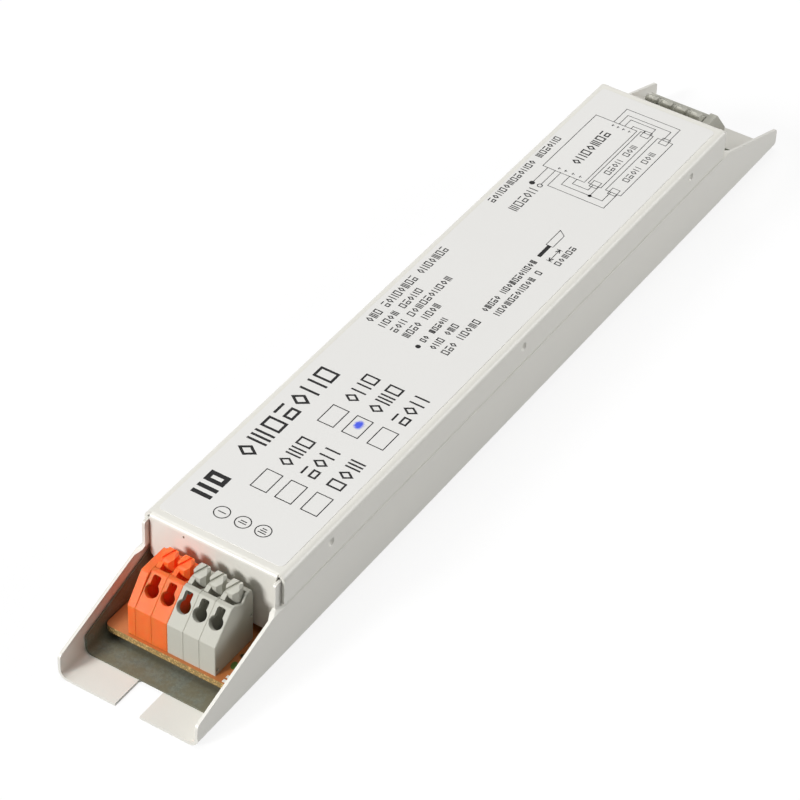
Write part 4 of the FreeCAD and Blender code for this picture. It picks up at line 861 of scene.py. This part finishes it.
class BALLAST_OT_print_diagram(bpy.types.Operator):
    """Prints the wiring diagram as plain boxes, lines and dots"""
    bl_idname = "ballast.print_diagram"
    bl_label = "Wiring diagram"

    def execute(self, context):
        lines = context.scene.ballast_print
        line = lines.rule_line / MM
        sheet = bmesh.new()
        ink_box(sheet, UNIT_LOW, UNIT_HIGH, line)
        start, end, foot, height = LAMP_TEXT
        half = Vector(CAP_SIZE) / 2
        for low, high in LAMP_ROWS:
            middle = (low + high) / 2
            ink_box(sheet, (LAMP_SPAN[0], low), (LAMP_SPAN[1], high), line)
            for x in (LAMP_SPAN[0] + CAP_INSET, LAMP_SPAN[1] - CAP_INSET):
                ink_box(sheet, Vector((x, middle)) - half, Vector((x, middle)) + half, line)
            ink_row(sheet, start, end, middle + foot, height, (4, 3), LAMP_ROW_LINE * lines.note_line / MM, 2)
        for side, nests in ((-1, LEFT_NESTS), (1, RIGHT_NESTS)):
            unit_side, lamp_side = (UNIT_LOW[0], LAMP_SPAN[0]) if side < 0 else (UNIT_HIGH[0], LAMP_SPAN[1])
            for top, far, low in nests:
                ink_line(sheet, [(unit_side, top), (far, top), (far, low), (lamp_side, low)], line)
            for y in PIN_HEIGHTS[side]:
                x = unit_side - side * PIN_INSET
                ink_bar(sheet, (x - PIN_HALF, y), (x + PIN_HALF, y), line)
                ink_bar(sheet, (x, y - PIN_LOW), (x, y + PIN_HIGH), line)
        ink_dot(sheet, JOINT_DOT, JOINT_RADIUS)
        ink_bar(sheet, JOINT_DOT, (LAMP_SPAN[0], JOINT_DOT[1]), line)
        for index, (x, y) in enumerate(SUPPLY_ENDS):
            if index == 0:
                ink_dot(sheet, (x, y), SUPPLY_RADIUS)
            else:
                ink_ring(sheet, (x, y), (SUPPLY_RADIUS, SUPPLY_RADIUS), SUPPLY_LINE * line)
            ink_bar(sheet, (x + SUPPLY_RADIUS, y), (UNIT_LOW[0], y), line)
        start, end, foot, height = UNIT_ROW
        ink_row(sheet, start, end, foot, height, (7,), UNIT_ROW_LINE * lines.note_line / MM, 4)
        print_on_label(sheet, "wiring_diagram", label_ink())
        return {"FINISHED"}


# Dab of a pen, in millimetres
PEN_OFFSET = Vector((0.6, 0.1))  # from the middle of its box
PEN_RADII, PEN_TURN, PEN_SIDES = (1.5, 1.1), 0.35, 36
PEN_RAGGEDNESS, PEN_WAVES, PEN_SEED = 0.32, 1.7, 3.0


def pen_finish(middle):
    """Pen ink: solid in the middle and thin at its rim."""
    pen = bpy.context.scene.ballast_print.pen
    film = bpy.context.scene.ballast_finishes.label_film
    material, tree, shader, place = new_finish("pen_ink", Roughness=0.4)
    centred = add_node(tree, "ShaderNodeVectorMath", {0: place, 1: (middle[0] * MM, middle[1] * MM, LABEL_TOP)},
                       operation="SUBTRACT")
    stretched = add_node(tree, "ShaderNodeVectorMath",
                         {0: centred.outputs[0], 1: (1 / (PEN_RADII[0] * MM), 1 / (PEN_RADII[1] * MM), 0)},
                         operation="MULTIPLY")
    away = add_node(tree, "ShaderNodeVectorMath", {0: stretched.outputs[0]}, operation="LENGTH").outputs["Value"]
    ragged = add_node(tree, "ShaderNodeTexNoise", {"Vector": place, "Scale": 2200.0, "Detail": 2.0}).outputs["Fac"]
    reach = math_node(tree, "MULTIPLY_ADD", ragged, 0.5, math_node(tree, "SUBTRACT", away, 0.25))
    thin = span_of(tree, reach, 0.5, 1.0)
    join_shader(tree, shader, mix_colours(tree, thin, pen, film))
    return material


class BALLAST_OT_dab_pen(bpy.types.Operator):
    """Puts a dab of a blue pen in one tick box"""
    bl_idname = "ballast.dab_pen"
    bl_label = "Pen dab"

    def execute(self, context):
        column, row = TICKED_BOX
        middle = Vector((BOX_COLUMNS[column], BOX_ROWS[row])) + BOX_SIZE / 2 + PEN_OFFSET
        sheet = bmesh.new()
        unit_disc(sheet, flat_place(middle, PEN_TURN, PEN_RADII), PEN_SIDES)
        for vert in sheet.verts:
            out = vert.co.xy - middle
            wobble = 1 + PEN_RAGGEDNESS * noise.noise((out.x * PEN_WAVES, out.y * PEN_WAVES, PEN_SEED))
            vert.co.xy = middle + out * wobble
        print_on_label(sheet, "pen_dab", pen_finish(middle))
        return {"FINISHED"}


# Marks printed on the board's corner beside the supply strip, in millimetres
BOARD_WHITE = ((-95.1, -11.9), (-93.9, -11.9), (-93.9, -12.9))  # middles of the white tiles
BOARD_TILE = 0.75
BOARD_GREEN = (-91.0, -11.1)
BOARD_GREEN_RADII, BOARD_GREEN_TURN = (1.0, 0.6), 0.3
BOARD_FILM = 0.02 * MM


class BALLAST_OT_print_board(bpy.types.Operator):
    """Prints the white marks and the green spot on the board's corner"""
    bl_idname = "ballast.print_board"
    bl_label = "Board print"

    def execute(self, context):
        white = bmesh.new()
        for middle in BOARD_WHITE:
            unit_square(white, flat_place(middle, 0, (BOARD_TILE, BOARD_TILE)))
        paint = ink_finish("board_white", screen_colour(236, 234, 226), 0.5)
        printed_piece(white, "board_marks", paint, BOARD_TOP, BOARD_FILM)
        green = bmesh.new()
        unit_disc(green, flat_place(BOARD_GREEN, BOARD_GREEN_TURN, BOARD_GREEN_RADII), DOT_SIDES)
        spot = ink_finish("board_green", screen_colour(92, 116, 52), 0.45)
        printed_piece(green, "board_spot", spot, BOARD_TOP, BOARD_FILM)
        return {"FINISHED"}


SPECK_PLACE = (6.3, 19.0)  # Y and Z on the near flap, in millimetres
SPECK_RADIUS = 0.22
SPECK_SHAPE = (0.1, 1, 1.3, 1)  # thin across the flap, and longer down it


class BALLAST_OT_speck_flap(bpy.types.Operator):
    """Adds the small dark speck in the paint of the near flap"""
    bl_idname = "ballast.speck_flap"
    bl_label = "Paint speck"

    def execute(self, context):
        speck = bmesh.new()
        place = Matrix.Translation((FLAP_FACE, SPECK_PLACE[0] * MM, SPECK_PLACE[1] * MM))
        size = Matrix.Diagonal(SPECK_SHAPE)
        bmesh.ops.create_icosphere(speck, subdivisions=2, radius=SPECK_RADIUS * MM, matrix=place @ size)
        finished_piece(speck, "paint_speck", ink_finish("speck", screen_colour(112, 98, 84), 0.6))
        return {"FINISHED"}


# Camera of the photograph, in metres
CAMERA_PLACE = Vector((-0.40742, -0.23662, 0.40499))
CAMERA_AHEAD = Vector((0.6442, 0.3935, -0.6559))
CAMERA_RIGHT = Vector((0.5443, -0.8383, 0.0317))

# Place and width of each lamp, in metres
LAMPS = {
    "key": (Vector((-2.5, 1.0, 1.32)), 0.8),
    "top": (Vector((0.3, 0.6, 2.8)), 2.0),
    "side": (Vector((0.8, -1.0, 0.45)), 0.8),
}
LAMP_TARGET = Vector((0, 0, 0.01))


def aim(thing, target):
    """Turns a lamp to look at a point."""
    thing.rotation_mode = "QUATERNION"
    thing.rotation_quaternion = (target - thing.location).to_track_quat("-Z", "Y")


def soft_lamp(name, place, size, power):
    lamp = bpy.data.lights.new(name, "AREA")
    lamp.shape = "DISK"
    lamp.size = size
    lamp.energy = power
    thing = bpy.data.objects.new(name, lamp)
    thing.location = place
    bpy.context.scene.collection.objects.link(thing)
    aim(thing, LAMP_TARGET)


def seen_directly(tree):
    """1 for rays from the camera, or by way of gloss or glass, and 0 for the rays that light the object."""
    path = add_node(tree, "ShaderNodeLightPath").outputs
    mirrored = math_node(tree, "MAXIMUM", path["Is Glossy Ray"], path["Is Transmission Ray"])
    return math_node(tree, "MAXIMUM", path["Is Camera Ray"], mirrored)


def white_world(strength):
    """World that looks white and lights the object evenly."""
    world = bpy.data.worlds.new("studio")
    tree = empty_tree(world)
    level = span_of(tree, seen_directly(tree), 0.0, 1.0, strength, 1.0)
    sky = add_node(tree, "ShaderNodeBackground", {"Color": (1, 1, 1, 1), "Strength": level})
    add_node(tree, "ShaderNodeOutputWorld", {"Surface": sky.outputs[0]})
    bpy.context.scene.world = world


FLOOR_GREY = (0.4, 0.4, 0.4, 1)
FLOOR_GLOW, FLOOR_GLOW_SHARE = 1.42, 0.6


def floor_finish():
    """Pale floor that looks nearly white and keeps the object's shadow."""
    material = bpy.data.materials.new("pale_floor")
    tree = empty_tree(material)
    matt = add_node(tree, "ShaderNodeBsdfDiffuse", {"Color": FLOOR_GREY})
    glow = add_node(tree, "ShaderNodeEmission", {"Color": (1, 1, 1, 1), "Strength": FLOOR_GLOW})
    share = math_node(tree, "MULTIPLY", seen_directly(tree), FLOOR_GLOW_SHARE)
    mixed = add_node(tree, "ShaderNodeMixShader", {0: share, 1: matt.outputs[0], 2: glow.outputs[0]})
    add_node(tree, "ShaderNodeOutputMaterial", {"Surface": mixed.outputs[0]})
    return material


class BALLAST_OT_set_stage(bpy.types.Operator):
    """Lays the floor, hangs the lamps and places the camera of the photograph"""
    bl_idname = "ballast.set_stage"
    bl_label = "Studio"

    def execute(self, context):
        studio = context.scene.ballast_studio
        ground = bmesh.new()
        low = Matrix.Translation((0, 0, -FLOOR_DROP))
        bmesh.ops.create_grid(ground, x_segments=1, y_segments=1, size=studio.floor / 2, matrix=low)
        floor = mesh_object(ground, "floor", floor_finish())
        for name, (place, width) in LAMPS.items():
            soft_lamp(f"{name}_lamp", place, width, getattr(studio, name))
        white_world(studio.sky)
        lens = bpy.data.cameras.new("photo_camera")
        lens.sensor_width = 36
        lens.lens = studio.lens
        camera = bpy.data.objects.new("photo_camera", lens)
        ahead = CAMERA_AHEAD.normalized()
        right = (CAMERA_RIGHT - ahead * CAMERA_RIGHT.dot(ahead)).normalized()
        turn = Matrix((right, right.cross(ahead), -ahead)).transposed()
        camera.matrix_world = Matrix.Translation(CAMERA_PLACE) @ turn.to_4x4()
        context.scene.collection.objects.link(camera)
        context.scene.camera = camera
        context.scene.view_settings.view_transform = "Standard"
        return {"FINISHED"}


class BALLAST_PT_looks(bpy.types.Panel):
    """Buttons for each group of pieces, with the sizes and colours that a user would change"""
    bl_idname = "BALLAST_PT_looks"
    bl_label = "Ballast"
    bl_space_type = "VIEW_3D"
    bl_region_type = "UI"
    bl_category = "Ballast"

    def draw(self, context):
        layout = self.layout
        for settings in (context.scene.ballast_finishes, context.scene.ballast_print, context.scene.ballast_studio):
            column = layout.column(align=True)
            for name in settings.__annotations__:
                column.prop(settings, name)
        for operator in OPERATORS:
            layout.operator(operator.bl_idname)


OPERATORS = (
    BALLAST_OT_set_stage,
    BALLAST_OT_paint_case,
    BALLAST_OT_cover_label,
    BALLAST_OT_line_case,
    BALLAST_OT_finish_board,
    BALLAST_OT_colour_strips,
    BALLAST_OT_finish_wound_parts,
    BALLAST_OT_finish_capacitors,
    BALLAST_OT_finish_small_parts,
    BALLAST_OT_print_heading,
    BALLAST_OT_print_terminal_marks,
    BALLAST_OT_print_tick_boxes,
    BALLAST_OT_dab_pen,
    BALLAST_OT_print_notes,
    BALLAST_OT_print_wire_sketch,
    BALLAST_OT_print_diagram,
    BALLAST_OT_print_board,
    BALLAST_OT_speck_flap,
)
CLASSES = (BallastFinishes, BallastPrint, BallastStudio, *OPERATORS, BALLAST_PT_looks)


def register():
    for item in CLASSES:
        bpy.utils.register_class(item)
    bpy.types.Scene.ballast_finishes = PointerProperty(type=BallastFinishes)
    bpy.types.Scene.ballast_print = PointerProperty(type=BallastPrint)
    bpy.types.Scene.ballast_studio = PointerProperty(type=BallastStudio)


def unregister():
    del bpy.types.Scene.ballast_studio
    del bpy.types.Scene.ballast_print
    del bpy.types.Scene.ballast_finishes
    for item in reversed(CLASSES):
        bpy.utils.unregister_class(item)


def main():
    """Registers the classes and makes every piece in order."""
    register()
    for operator in OPERATORS:
        group, name = operator.bl_idname.split(".")
        getattr(getattr(bpy.ops, group), name)()


if __name__ == "__main__":
    main()
